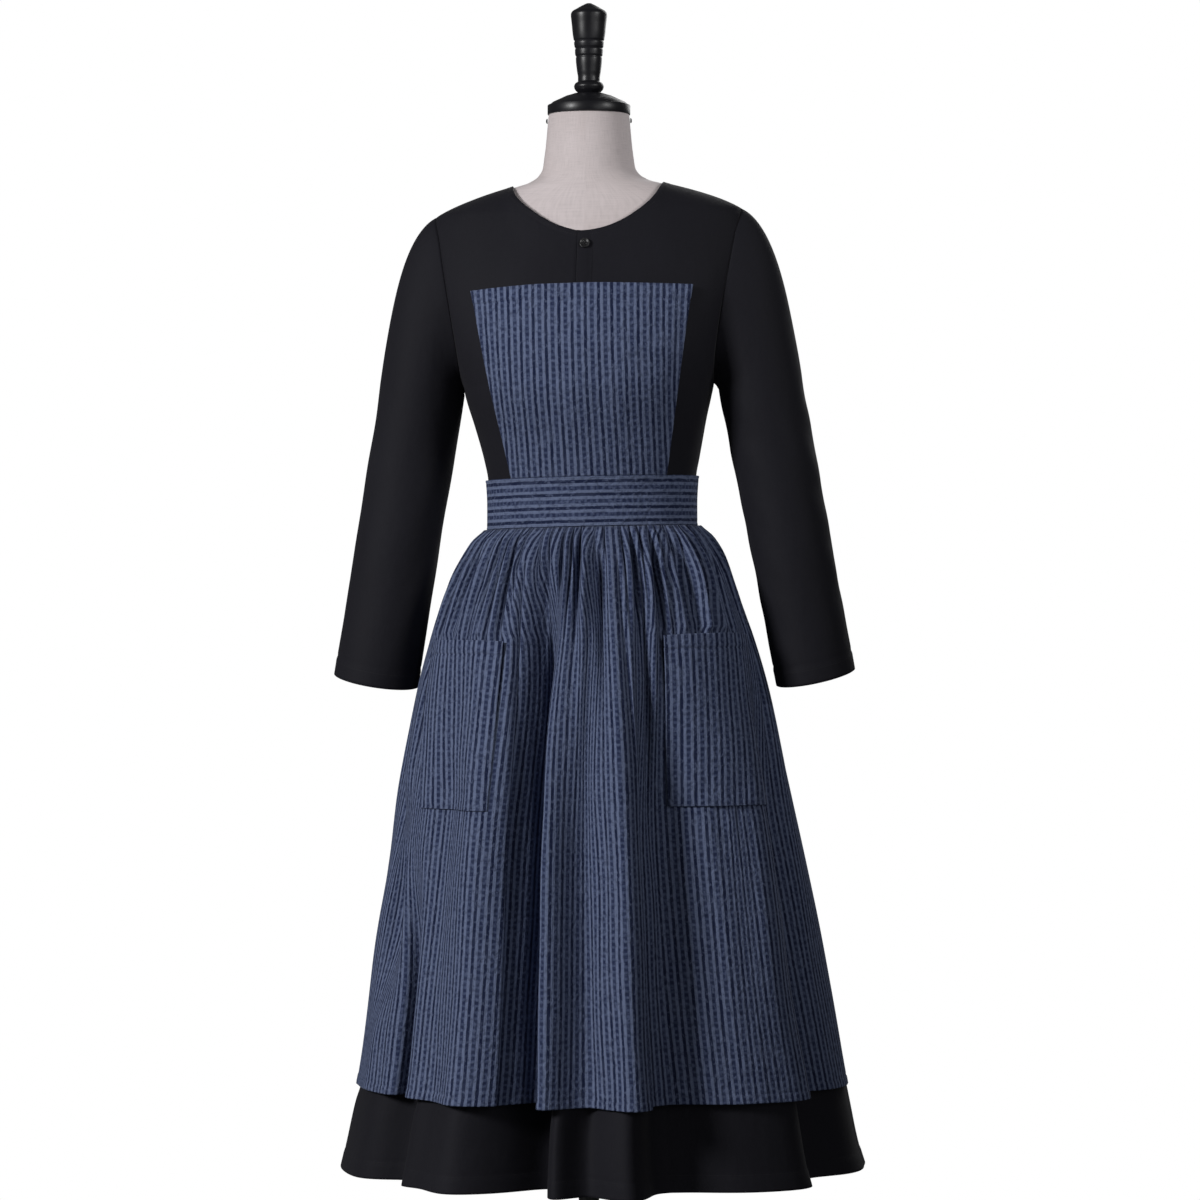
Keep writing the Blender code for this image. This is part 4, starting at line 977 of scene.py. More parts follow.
@dataclass(frozen=True)
class StripedCotton:
    """Blue crinkled cotton: navy lines, pale cords beside them and a column of dark dots between."""

    name: str = "apron_cloth"
    pale: Colour = (0.122, 0.151, 0.246)
    middle: Colour = (0.047, 0.062, 0.122)
    dot: Colour = (0.0165, 0.0235, 0.061)
    navy: Colour = (0.0066, 0.0108, 0.037)
    line_half: float = 0.0018
    cord_outer: float = 0.0053
    dot_pitch: float = 0.00715
    dot_half: float = 0.0020
    wobble: float = 0.0014
    # share of the painted shade in the weave's hollows, mixed with the threads' uneven tone
    shaded: float = 0.45
    worn: float = 0.16
    # shares of painted light on the rumples' tops and painted shade in their hollows
    painted_crest_light: float = 0.45
    painted_dip_shade: float = 0.50
    thread: float = 0.00055
    rumple_across: float = 0.0042
    rumple_along: float = 0.0060
    pucker_depth: float = 0.0026
    cord_depth: float = 0.00035
    thread_depth: float = 0.00010
    sheen: float = 0.05

    def build(self, groups: Groups) -> bpy.types.Material:
        """Makes the material.

        Args:
            groups: the shared node groups.

        Returns:
            The material.
        """
        paint, nodes, shader = new_paint(self.name)
        flat = nodes.add("ShaderNodeUVMap", uv_map=FLAT_PATTERN).outputs[0]
        rumples = nodes.add("ShaderNodeGroup", node_tree=groups.rumples)
        settle(rumples, {"Vector": flat}, Across=self.rumple_across, Along=self.rumple_along)
        u, v, _ = nodes.add("ShaderNodeSeparateXYZ", {0: flat}).outputs
        wander = nodes.noise(nodes.scaled(flat, 150.0, 70.0), 1.0, 3.0)
        wobble = nodes.math("MULTIPLY_ADD", wander, self.wobble, -self.wobble / 2)
        turns = nodes.math("DIVIDE", nodes.math("ADD", u, wobble), STRIPE_PITCH)
        centred = nodes.math("SUBTRACT", nodes.math("FRACT", nodes.math("ADD", turns, 0.5)), 0.5)
        away = nodes.math("MULTIPLY", nodes.math("ABSOLUTE", centred), STRIPE_PITCH)
        line = nodes.soft_step(away, self.line_half + 0.0006, self.line_half - 0.0004)
        column = nodes.soft_step(away, self.cord_outer - 0.0004, self.cord_outer + 0.0006)
        steps = nodes.math("FRACT", nodes.math("DIVIDE", v, self.dot_pitch))
        from_dot = nodes.math("ABSOLUTE", nodes.math("SUBTRACT", steps, 0.5))
        from_dot = nodes.math("MULTIPLY", from_dot, self.dot_pitch)
        dots = nodes.soft_step(from_dot, self.dot_half + 0.0008, self.dot_half - 0.0006)
        between = nodes.soft_step(away, self.cord_outer - 0.0001, self.cord_outer + 0.0012)
        dots = nodes.math("MULTIPLY", dots, between)
        weave = nodes.add("ShaderNodeGroup", node_tree=groups.weave)
        settle(weave, {"Vector": flat}, Thread=self.thread)
        cloth = nodes.mix(column, rgba(self.pale), rgba(self.middle))
        cloth = nodes.mix(dots, cloth, rgba(self.dot))
        cloth = nodes.mix(line, cloth, rgba(self.navy))
        # dark: the colour of the painted shade in the weave's hollows and the rumples' hollows
        dark = tuple(0.5 * part for part in self.middle)
        fade = nodes.math("MULTIPLY", nodes.soft_step(weave.outputs["Shade"], 0.75, 0.35), self.shaded)
        cloth = nodes.mix(fade, cloth, rgba(dark))
        worn = nodes.math("MULTIPLY", nodes.soft_step(rumples.outputs["Tone"], 0.42, 0.72), self.worn)
        cloth = nodes.mix(worn, cloth, rgba(self.pale))
        height = rumples.outputs["Height"]
        # Painted light and shade: the rumples' raised tops are mixed paler and their hollows darker.
        painted_crest_light = nodes.math("MULTIPLY", nodes.soft_step(height, 0.50, 0.70), self.painted_crest_light)
        cloth = nodes.mix(painted_crest_light, cloth, rgba(self.pale))
        painted_dip_shade = nodes.math("MULTIPLY", nodes.soft_step(height, 0.50, 0.30), self.painted_dip_shade)
        cloth = nodes.mix(painted_dip_shade, cloth, rgba(dark))
        raised = nodes.math("SUBTRACT", 1.0, nodes.math("MAXIMUM", line, nodes.math("MULTIPLY", dots, 0.8)))
        puckers = nodes.bump(height, self.pucker_depth, 0.8)
        cords = nodes.bump(raised, self.cord_depth, 0.7, puckers)
        threads = nodes.bump(weave.outputs["Height"], self.thread_depth, 0.5, cords)
        settle(
            shader,
            {"Base Color": cloth, "Normal": threads},
            Roughness=0.92,
            Specular_IOR_Level=0.08,
            Sheen_Weight=self.sheen,
            Sheen_Roughness=0.5,
            Sheen_Tint=(0.75, 0.8, 1.0, 1.0),
        )
        return paint


@dataclass(frozen=True)
class PlainCloth:
    """A plain woven cloth of one colour, with its weave, soft rumples and a faint change of tone."""

    name: str
    colour: Colour
    second: Colour
    thread: float
    across: float
    along: float
    rumple: float
    roughness: float
    specular: float
    sheen: float

    def build(self, groups: Groups) -> bpy.types.Material:
        """Makes the material.

        Args:
            groups: the shared node groups.

        Returns:
            The material.
        """
        paint, nodes, shader = new_paint(self.name)
        flat = nodes.add("ShaderNodeUVMap", uv_map=FLAT_PATTERN).outputs[0]
        weave = nodes.add("ShaderNodeGroup", node_tree=groups.weave)
        settle(weave, {"Vector": flat}, Thread=self.thread)
        rumples = nodes.add("ShaderNodeGroup", node_tree=groups.rumples)
        settle(rumples, {"Vector": flat}, Across=self.across, Along=self.along)
        share = nodes.soft_step(rumples.outputs["Tone"], 0.35, 0.7)
        tone = nodes.mix(share, rgba(self.colour), rgba(self.second))
        # Painted shade in the weave's hollows, mixed with the threads' uneven tone.
        dark = tuple(0.55 * part for part in self.colour)
        shade = nodes.math("MULTIPLY", nodes.soft_step(weave.outputs["Shade"], 0.8, 0.35), 0.4)
        cloth = nodes.mix(shade, tone, rgba(dark))
        soft = nodes.bump(rumples.outputs["Height"], self.rumple, 0.5)
        threads = nodes.bump(weave.outputs["Height"], 0.00008, 0.5, soft)
        settle(
            shader,
            {"Base Color": cloth, "Normal": threads},
            Roughness=self.roughness,
            Specular_IOR_Level=self.specular,
            Sheen_Weight=self.sheen,
            Sheen_Roughness=0.45,
        )
        return paint


@dataclass(frozen=True)
class HardGloss:
    """Lacquer, paint, plastic or blackened steel: a hard surface with fine scratches and random patches of
    dust and wear.
    """

    name: str
    colour: Colour
    worn: Colour
    roughness: float
    metallic: float = 0.0
    grain: float = 300.0
    relief: float = 0.00005
    specular: float = 0.5

    def build(self) -> bpy.types.Material:
        """Makes the material.

        Returns:
            The material.
        """
        paint, nodes, shader = new_paint(self.name)
        place = nodes.add("ShaderNodeTexCoord").outputs["Object"]
        turning = nodes.noise(nodes.scaled(place, 0.15, 0.15, 1.0), self.grain * 6, 2.0)
        speck = nodes.noise(place, self.grain, 4.0)
        haze = nodes.noise(place, 28.0, 3.0)
        colour = nodes.mix(nodes.soft_step(haze, 0.45, 0.8), rgba(self.colour), rgba(self.worn))
        rough = nodes.math("MULTIPLY_ADD", speck, 0.16, self.roughness - 0.08)
        rough = nodes.math("MULTIPLY_ADD", haze, 0.10, nodes.math("SUBTRACT", rough, 0.05))
        normal = nodes.bump(nodes.math("ADD", turning, speck), self.relief, 0.35)
        settle(
            shader,
            {"Base Color": colour, "Roughness": rough, "Normal": normal},
            Metallic=self.metallic,
            Specular_IOR_Level=self.specular,
        )
        return paint


@dataclass(frozen=True)
class StudioFloor:
    """A pale floor that turns to plain white away from the object."""

    name: str = "studio_floor"
    colour: Colour = (0.80, 0.80, 0.80)
    bounced: Colour = (0.16, 0.16, 0.16)
    near: float = 0.75
    far: float = 1.30

    def build(self) -> bpy.types.Material:
        """Makes the material.

        Returns:
            The material.
        """
        paint, nodes, shader = new_paint(self.name)
        place = nodes.add("ShaderNodeTexCoord").outputs["Object"]
        away = nodes.add("ShaderNodeVectorMath", {0: place}, operation="LENGTH").outputs["Value"]
        seen = nodes.add("ShaderNodeLightPath").outputs["Is Camera Ray"]
        fade = nodes.math("MULTIPLY", nodes.soft_step(away, self.near, self.far), seen)
        shown = nodes.mix(seen, rgba(self.bounced), rgba(self.colour))
        settle(shader, {"Base Color": shown}, Roughness=0.7)
        white = nodes.add("ShaderNodeEmission", {"Color": (1, 1, 1, 1), "Strength": 1.0})
        both = nodes.add("ShaderNodeMixShader", {0: fade, 1: shader.outputs[0], 2: white.outputs[0]})
        end = nodes.tree.nodes["Material Output"]
        nodes.tree.links.new(both.outputs[0], end.inputs["Surface"])
        return paint


@dataclass
class Finishes:
    """All materials of the part and its studio."""

    groups: Groups = field(default_factory=Groups)

    def __post_init__(self) -> None:
        """Builds each finish once."""
        poplin = PlainCloth(
            "dress_cloth", colour=(0.0066, 0.0064, 0.0102), second=(0.0088, 0.0086, 0.0130), thread=0.00030,
            across=0.030, along=0.055, rumple=0.0022, roughness=0.74, specular=0.16, sheen=0.05,
        )
        linen = PlainCloth(
            "form_linen", colour=(0.600, 0.538, 0.542), second=(0.545, 0.482, 0.480), thread=0.00042,
            across=0.020, along=0.030, rumple=0.0006, roughness=0.85, specular=0.20, sheen=0.25,
        )
        self.dress = poplin.build(self.groups)
        self.apron = StripedCotton().build(self.groups)
        self.linen = linen.build(self.groups)
        black = (0.010, 0.010, 0.011)
        hard = (
            HardGloss("cap_lacquer", (0.007, 0.007, 0.009), (0.011, 0.011, 0.014), 0.36, specular=0.32),
            HardGloss("button_plastic", black, (0.022, 0.022, 0.024), 0.34),
            HardGloss("screw_steel", (0.06, 0.06, 0.065), (0.12, 0.12, 0.12), 0.32, metallic=1.0),
            HardGloss("stand_paint", black, (0.018, 0.018, 0.019), 0.38, grain=700.0),
            HardGloss("dress_thread", (0.012, 0.012, 0.014), (0.02, 0.02, 0.02), 0.75),
            HardGloss("apron_thread", (0.045, 0.055, 0.10), (0.09, 0.11, 0.17), 0.8),
        )
        made = [finish.build() for finish in hard]
        self.lacquer, self.button, self.steel, self.stand, self.dress_thread, self.apron_thread = made
        self.floor = StudioFloor().build()


# Dress


@dataclass
class DressBodice:
    """Front and back bodice panels, from the waist seam to the round neckline."""

    finishes: Finishes
    shape: BodiceShape = field(default_factory=BodiceShape)
    columns: int = 96
    rows_each: int = 9
    wall: float = 0.0013
    creases: float = 0.0006
    crease_size: float = 0.11
    facing: float = 0.0075
    facing_rise: float = 0.0003
    stitch_inset: float = 0.0062
    stitch_points: int = 120

    def build(self) -> None:
        """Builds both panels and the neckline's stitching."""
        for face in Face:
            name = f"bodice_{face.name.lower()}"
            panel = self.panel(f"{name}_cloth", face)
            cloth = panel.build(self.finishes.dress)
            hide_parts(name)
            seam = self.neck_stitches(f"{name}_stitches", panel)

    def panel(self, name: str, face: Face) -> ClothPanel:
        """One bodice panel with its soft creases and its narrow neck facing.

        Args:
            name: the panel's name.
            face: front or back.

        Returns:
            The panel.
        """
        shape = self.shape
        total = shape.rows_to_armpit + shape.rows_along_armhole + shape.rows_along_shoulder
        row = np.linspace(0, total, total * self.rows_each + 1)[:, None]
        across = np.linspace(-1, 1, self.columns + 1)[None, :]
        across = np.broadcast_to(across, (len(row), self.columns + 1))
        height = shape.height(face, across, row)
        points = shape.point(face, across, height)
        points = points + np.array((0, face.value * SEAM_GAP / 2, 0))
        flat = np.stack((along_rows(points), points[..., 2] - DRESS_WAIST), axis=-1)
        panel = ClothPanel(name, points, flat, self.wall)
        top = shape.neckline(face, points[..., 0])
        from_neck = np.where(np.abs(points[..., 0]) < shape.neck_half, top - height, 1.0)
        inside = (1 - np.abs(across) ** 4) * eased(height, DRESS_WAIST, DRESS_WAIST + 0.05)
        waves = ripple(flat[..., 0], flat[..., 1], self.crease_size, 4 + face.value, 1.6)
        creases = -self.creases * (1 + waves) * inside
        relief = turned_fold(from_neck, self.facing, self.facing_rise) + creases * eased(from_neck, 0.0, 0.05)
        panel.lift(relief[:, ::-1] if not np.array_equal(panel.flat, flat) else relief)
        return panel

    def neck_stitches(self, name: str, panel: ClothPanel) -> bpy.types.Object:
        """The row of stitches that holds the neck facing."""
        rows, columns = panel.points.shape[:2]
        steps = np.linspace(2, columns - 3, self.stitch_points)
        line = np.full(self.stitch_points, rows - 1.0)
        step = np.linalg.norm(panel.points[-1] - panel.points[-2], axis=-1)
        line -= self.stitch_inset / np.interp(steps, np.arange(columns), step)
        stitching = Stitching(0.0026, 0.0018, 0.0003)
        return stitching.lay(name, [panel.trace(line, steps)], self.finishes.dress_thread)


@dataclass(frozen=True)
class SleeveSize:
    """A sleeve in the front view: its outer and inner edge at the upper arm and at the cuff."""

    side: Side
    outer: tuple[float, float]
    inner: tuple[float, float]
    cuff_outer: tuple[float, float]
    cuff_inner: tuple[float, float]


@dataclass
class DressSleeves:
    """Two set-in sleeves that hang from the armholes to an open cuff."""

    finishes: Finishes
    shape: BodiceShape = field(default_factory=BodiceShape)
    left: SleeveSize = SleeveSize(
        Side.LEFT, (0.2595, 1.2060), (0.1575, 1.1850), (0.3235, 0.8470), (0.2290, 0.8275)
    )
    right: SleeveSize = SleeveSize(
        Side.RIGHT, (0.2560, 1.1960), (0.1520, 1.1800), (0.3105, 0.8410), (0.2085, 0.8240)
    )
    upper_half_depth: float = 0.056
    cuff_half_depth: float = 0.050
    cuff_sag: float = 0.008
    forward: float = 0.012
    flat_width: float = 0.33
    creases: float = 0.0016
    crease_size: float = 0.085
    cuff_hem: float = 0.022
    cuff_hem_rise: float = 0.0005
    set_in_dent: float = 0.0002
    armhole_gap: float = 0.0001
    cap_start: tuple[float, float, float] = (0.90, 0, -0.43)
    cap_pull: float = 0.70
    sides: int = 96
    cap_rings: int = 40
    arm_rings: int = 96
    stitch_rings: float = 4.5
    stitch_points: int = 240
    wall: float = 0.0013

    def build(self) -> None:
        """Builds both sleeves with their cuff stitching."""
        for size in (self.left, self.right):
            name = f"sleeve_{size.side.name.lower()}"
            panel = self.panel(f"{name}_cloth", size)
            cloth = panel.build(self.finishes.dress)
            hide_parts(name)
            row = self.cap_rings + self.arm_rings - self.stitch_rings
            line = panel.along_row(row, 0, self.sides, self.stitch_points)
            stitching = Stitching(0.0028, 0.0019, 0.0003)
            seam = stitching.lay(f"{name}_stitches", [line], self.finishes.dress_thread)

    def arm_ring(self, size: SleeveSize, angle: np.ndarray, share: np.ndarray) -> np.ndarray:
        """Points of the rings from the upper arm down to the cuff.

        Args:
            size: which sleeve.
            angle: angle round the sleeve, from the inner edge.
            share: share of the way down.

        Returns:
            The points.
        """
        x_to = size.side.value
        inner = [np.interp(share, (0, 1), (size.inner[k], size.cuff_inner[k])) for k in (0, 1)]
        outer = [np.interp(share, (0, 1), (size.outer[k], size.cuff_outer[k])) for k in (0, 1)]
        half_depth = self.upper_half_depth + share * (self.cuff_half_depth - self.upper_half_depth)
        centre_x, centre_z = (inner[0] + outer[0]) / 2, (inner[1] + outer[1]) / 2
        x = centre_x + (inner[0] - centre_x) * np.cos(angle)
        z = centre_z + (inner[1] - centre_z) * np.cos(angle) - self.cuff_sag * share * np.sin(angle)
        y = -half_depth * np.sin(angle) - self.forward * share**1.5
        return stacked(x_to * x, y, z)

    def armhole(self, size: SleeveSize, angle: np.ndarray) -> np.ndarray:
        """Points of the armhole's edge, from the armpit up the front and down the back."""
        side = size.side.value
        height = ARMPIT + (SHOULDER_TIP - ARMPIT) * (1 - np.cos(angle)) / 2
        front = self.shape.point(Face.FRONT, np.full(np.shape(angle), side), height)
        back = self.shape.point(Face.BACK, np.full(np.shape(angle), side), height)
        edge = np.where((angle <= math.pi)[..., None], front, back)
        return edge + np.array((side * self.armhole_gap, 0, 0))

    def panel(self, name: str, size: SleeveSize) -> ClothPanel:
        """One sleeve as a closed panel, with its seam under the arm, a set-in dent and soft creases.

        Args:
            name: the panel's name.
            size: which sleeve.

        Returns:
            The panel.
        """
        angle = np.linspace(0, 2 * math.pi, self.sides + 1)[None, :]
        start = self.armhole(size, angle)
        end = self.arm_ring(size, angle, np.zeros_like(angle))
        reach = np.linalg.norm(end - start, axis=-1, keepdims=True)
        leave = np.array((size.side.value, 1, 1)) * self.cap_start * reach * self.cap_pull
        arrive = unit(self.arm_ring(size, angle, np.full_like(angle, 0.02)) - end) * reach
        s = np.linspace(0, 1, self.cap_rings + 1)[:, None, None]
        cap = start * (1 - 3 * s**2 + 2 * s**3) + leave * (s - 2 * s**2 + s**3)
        cap = cap + end * (3 * s**2 - 2 * s**3) + arrive * (s**3 - s**2)
        share = np.linspace(0, 1, self.arm_rings + 1)[1:, None] * np.ones_like(angle)
        arm = self.arm_ring(size, np.broadcast_to(angle, share.shape), share)
        points = np.concatenate((cap, arm))
        centre = points[:, :-1].mean(axis=1, keepdims=True)
        down = down_columns(points)
        flat = np.stack((angle / (2 * math.pi) * self.flat_width * np.ones_like(down), down), axis=-1)
        panel = ClothPanel(name, points, flat, self.wall, True, centre)
        around = panel.flat[..., 0] / self.flat_width * 2 * math.pi
        wave_u, wave_v = np.sin(around) * 0.10, down + 0.05 * np.cos(around)
        waves = ripple(wave_u, wave_v, self.crease_size, 11 + size.side.value, 0.8)
        creases = -self.creases * (1 + waves) / 2
        cuff = down[-1, 0] - down
        relief = creases * eased(down, 0.02, 0.12) * eased(cuff, 0.02, 0.10)
        relief = relief + turned_fold(cuff, self.cuff_hem, self.cuff_hem_rise)
        relief = relief - self.set_in_dent * bump(down, 0.004, 0.004)
        panel.lift(relief)
        return panel


@dataclass
class DressSkirt:
    """Front and back panels of the black skirt, seen below the apron and behind."""

    finishes: Finishes
    shape: SkirtShape = field(default_factory=SkirtShape)
    flat_half: float = 0.62
    hem: float = 0.020
    hem_rise: float = 0.0005
    columns: int = 240
    rows: int = 120
    hem_rows: int = 10
    stitch_rows: float = 7.6
    stitch_points: int = 900
    wall: float = 0.0013

    def build(self) -> None:
        """Builds both panels and their hem stitching."""
        for face in Face:
            name = f"skirt_{face.name.lower()}"
            under_band = [DRESS_WAIST, 1.036]
            middle = np.linspace(BAND_BOTTOM, DRESS_HEM + 0.03, self.rows)
            low = np.linspace(0.270, DRESS_HEM, self.hem_rows)
            height = np.concatenate((under_band, middle, low))
            across, height = np.meshgrid(np.linspace(-1, 1, self.columns + 1), height)
            points = self.shape.dress(face, across, height) + np.array((0, face.value * SEAM_GAP / 2, 0))
            down = down_columns(points)
            flat = np.stack((across * self.flat_half, down), axis=-1)
            panel = ClothPanel(f"{name}_cloth", points, flat, self.wall)
            panel.lift(turned_fold(down[-1, 0] - down, self.hem, self.hem_rise))
            cloth = panel.build(self.finishes.dress)
            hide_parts(name)
            line = panel.along_row(len(points) - self.stitch_rows, 0, self.columns, self.stitch_points)
            stitching = Stitching(0.0032, 0.0020, 0.0003)
            seam = stitching.lay(f"{name}_stitches", [line], self.finishes.dress_thread)


@dataclass
class NeckPlacket:
    """The narrow lapped strip that closes the slit below the neckline."""

    finishes: Finishes
    shape: BodiceShape = field(default_factory=BodiceShape)
    left: float = -0.0086
    right: float = 0.0115
    slit: float = -0.0072
    bottom: float = 1.2850
    lift: float = 0.0003
    wall: float = 0.0004
    flap: float = 0.0009
    sunk_more: float = 0.0002
    slit_dent: float = 0.0006
    stitch_column: float = 12.0
    stitch_points: int = 90
    columns: int = 80
    rows: int = 32

    def build(self) -> None:
        """Builds the strip and its row of stitches."""
        columns = np.linspace(self.left, self.right, self.columns + 1)
        x, share = np.meshgrid(columns, np.linspace(0, 1, self.rows + 1))
        height = self.bottom + (self.shape.neckline(Face.FRONT, x) - self.bottom) * share
        across = self.shape.across_at(Face.FRONT, x, height)
        flap = self.flap * eased(x, self.slit, self.slit + 0.0004)
        flap = flap * (1 - eased(x, self.slit + 0.003, self.right - 0.002))
        sunk = (self.lift + self.wall + self.sunk_more) * eased(x, self.right - 0.009, self.right)
        lift = self.lift + self.wall + flap - sunk - self.slit_dent * bump(x - self.slit, 0.0005, 0.0004)
        points = self.shape.point(Face.FRONT, across, height)
        points = points + self.shape.normal(Face.FRONT, across, height) * lift[..., None]
        flat = np.stack((x, height - DRESS_WAIST), axis=-1)
        panel = ClothPanel("neck_placket_cloth", points, flat, self.wall)
        cloth = panel.build(self.finishes.dress)
        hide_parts("neck_placket")
        line = panel.along_column(self.stitch_column, 1, self.rows - 1, self.stitch_points)
        stitching = Stitching(0.0026, 0.0018, 0.0003)
        seam = stitching.lay("neck_placket_stitches", [line], self.finishes.dress_thread)


# Apron


@dataclass
class ApronBib:
    """The bib: wider at its top, with a hem along the top edge and narrow side hems."""

    finishes: Finishes
    shape: BodiceShape = field(default_factory=BodiceShape)
    top: float = 1.3070
    top_tilt: float = -0.022
    droop: float = 0.0061
    top_half: float = 0.1318
    top_shift: float = -0.0022
    bottom_half: float = 0.0915
    bottom_shift: float = 0.0055
    stand_off: float = 0.0020
    wall: float = 0.0012
    top_hem: float = 0.0180
    top_hem_rise: float = 0.0009
    side_hem: float = 0.0065
    side_hem_rise: float = 0.0006
    top_stitch: float = 0.0016
    side_stitch: float = 0.0012
    waves: float = 0.0007
    stripe_shift: float = 0.0066
    stitch_points: int = 300
    columns: int = 140
    rows: int = 132

    def build(self) -> None:
        """Builds the bib and its stitching."""
        low = BAND_TOP + 2 * SEAM_GAP
        side, share = np.meshgrid(np.linspace(-1, 1, self.columns + 1), np.linspace(0, 1, self.rows + 1))
        half = self.bottom_half + (self.top_half - self.bottom_half) * share
        x = side * half + self.bottom_shift * (1 - share) + self.top_shift * share
        droop = self.droop * (np.maximum(-x, 0) / self.top_half) ** 1.6
        height = low + (self.top + self.top_tilt * x - droop - low) * share
        across = self.shape.across_at(Face.FRONT, x, height)
        points = self.shape.point(Face.FRONT, across, height)
        normal = self.shape.normal(Face.FRONT, across, height)
        points = points + normal * (self.stand_off + self.wall)
        flat = np.stack((along_rows(points) - self.stripe_shift, height - low), axis=-1)
        panel = ClothPanel("apron_bib_cloth", points, flat, self.wall)
        from_top = (1 - share) * (self.top - low)
        from_side = (1 - np.abs(side)) * half
        relief = turned_fold(from_top, self.top_hem, self.top_hem_rise)
        relief = relief + turned_fold(from_side, self.side_hem, self.side_hem_rise)
        waves = ripple(x, height, 0.055, 21, 2.0)
        relief = relief + self.waves * waves * eased(from_side, 0, 0.03) * eased(height - low, 0.0, 0.05)
        panel.lift(relief)
        cloth = panel.build(self.finishes.apron)
        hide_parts("apron_bib")
        rows = np.linspace(0, self.rows, self.stitch_points)
        hem_row = self.rows * (1 - (self.top_hem - self.top_stitch) / (self.top - low))
        widths = self.bottom_half + (self.top_half - self.bottom_half) * rows / self.rows
        inset = (self.side_hem - self.side_stitch) / widths * self.columns / 2
        runs = [panel.along_row(hem_row, 0, self.columns, self.stitch_points)]
        runs += [panel.trace(rows, columns) for columns in (inset, self.columns - inset)]
        seam = Stitching().lay("apron_bib_stitches", runs, self.finishes.apron_thread)


@dataclass
class ApronWaistband:
    """One strip round the waist with its stripes running round it, lapped at the centre back."""

    finishes: Finishes
    shape: BodiceShape = field(default_factory=BodiceShape)
    lap: float = math.radians(8)
    stand_off: float = 0.0013
    wall: float = 0.0018
    lap_lift: float = 0.0005
    edge: float = 0.0030
    edge_rise: float = 0.0005
    edge_round: float = 0.0004
    lowest_line: float = 1.0242
    puckers: float = 0.00028
    waves: float = 0.0005
    stitch_inset: float = 0.0024
    stitch_points: int = 700
    columns: int = 260
    rows: int = 36

    def lift(self, angle: np.ndarray) -> np.ndarray:
        """Lift of the band off the dress: its last stretch laps over its first at the back."""
        lapped = eased(angle, math.pi - 3 * self.lap, math.pi - self.lap)
        return self.stand_off + (self.wall + self.lap_lift) * lapped

    def point(self, angle: np.ndarray, height: np.ndarray, lift: np.ndarray) -> np.ndarray:
        """Points round the band at an angle from the front, lifted off the dress."""
        half, front, back = (read(height) for read in curves(self.shape.levels))
        depth = np.where(np.abs(angle) <= math.pi / 2, front, back)
        x = (half + lift) * np.sin(angle) + waist_shift(height)
        return stacked(x, -(depth + lift) * np.cos(angle), height + dress_tilt(x, height))

    def build(self) -> None:
        """Builds the band and the stitching along its edges."""
        angle = np.linspace(-math.pi - self.lap, math.pi + self.lap, self.columns + 1)
        angle, height = np.meshgrid(angle, np.linspace(BAND_BOTTOM, BAND_TOP, self.rows + 1))
        points = self.point(angle, height, self.lift(angle) + self.wall)
        flat = np.stack((height - self.lowest_line, along_rows(points)), axis=-1)
        panel = ClothPanel("apron_waistband_cloth", points, flat, self.wall)
        from_edge = np.minimum(height - BAND_BOTTOM, BAND_TOP - height)
        puckers = ripple(flat[..., 1], height, 0.014, 31, 1.0) * bump(from_edge - 0.0025, 0.004, 0.006)
        soft = ripple(flat[..., 1], height, 0.06, 32, 1.0)
        relief = turned_fold(from_edge, self.edge, self.edge_rise)
        relief = relief - self.edge_round * bump(from_edge, 0.0008, 0.0008)
        relief = relief + self.puckers * puckers + self.waves * (soft - 0.4) * eased(from_edge, 0, 0.01)
        panel.lift(relief)
        cloth = panel.build(self.finishes.apron)
        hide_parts("apron_waistband")
        inset = self.stitch_inset / (BAND_TOP - BAND_BOTTOM) * self.rows
        rows = (inset, self.rows - inset)
        runs = [panel.along_row(row, 0, self.columns, self.stitch_points) for row in rows]
        seam = Stitching().lay("apron_waistband_stitches", runs, self.finishes.apron_thread)


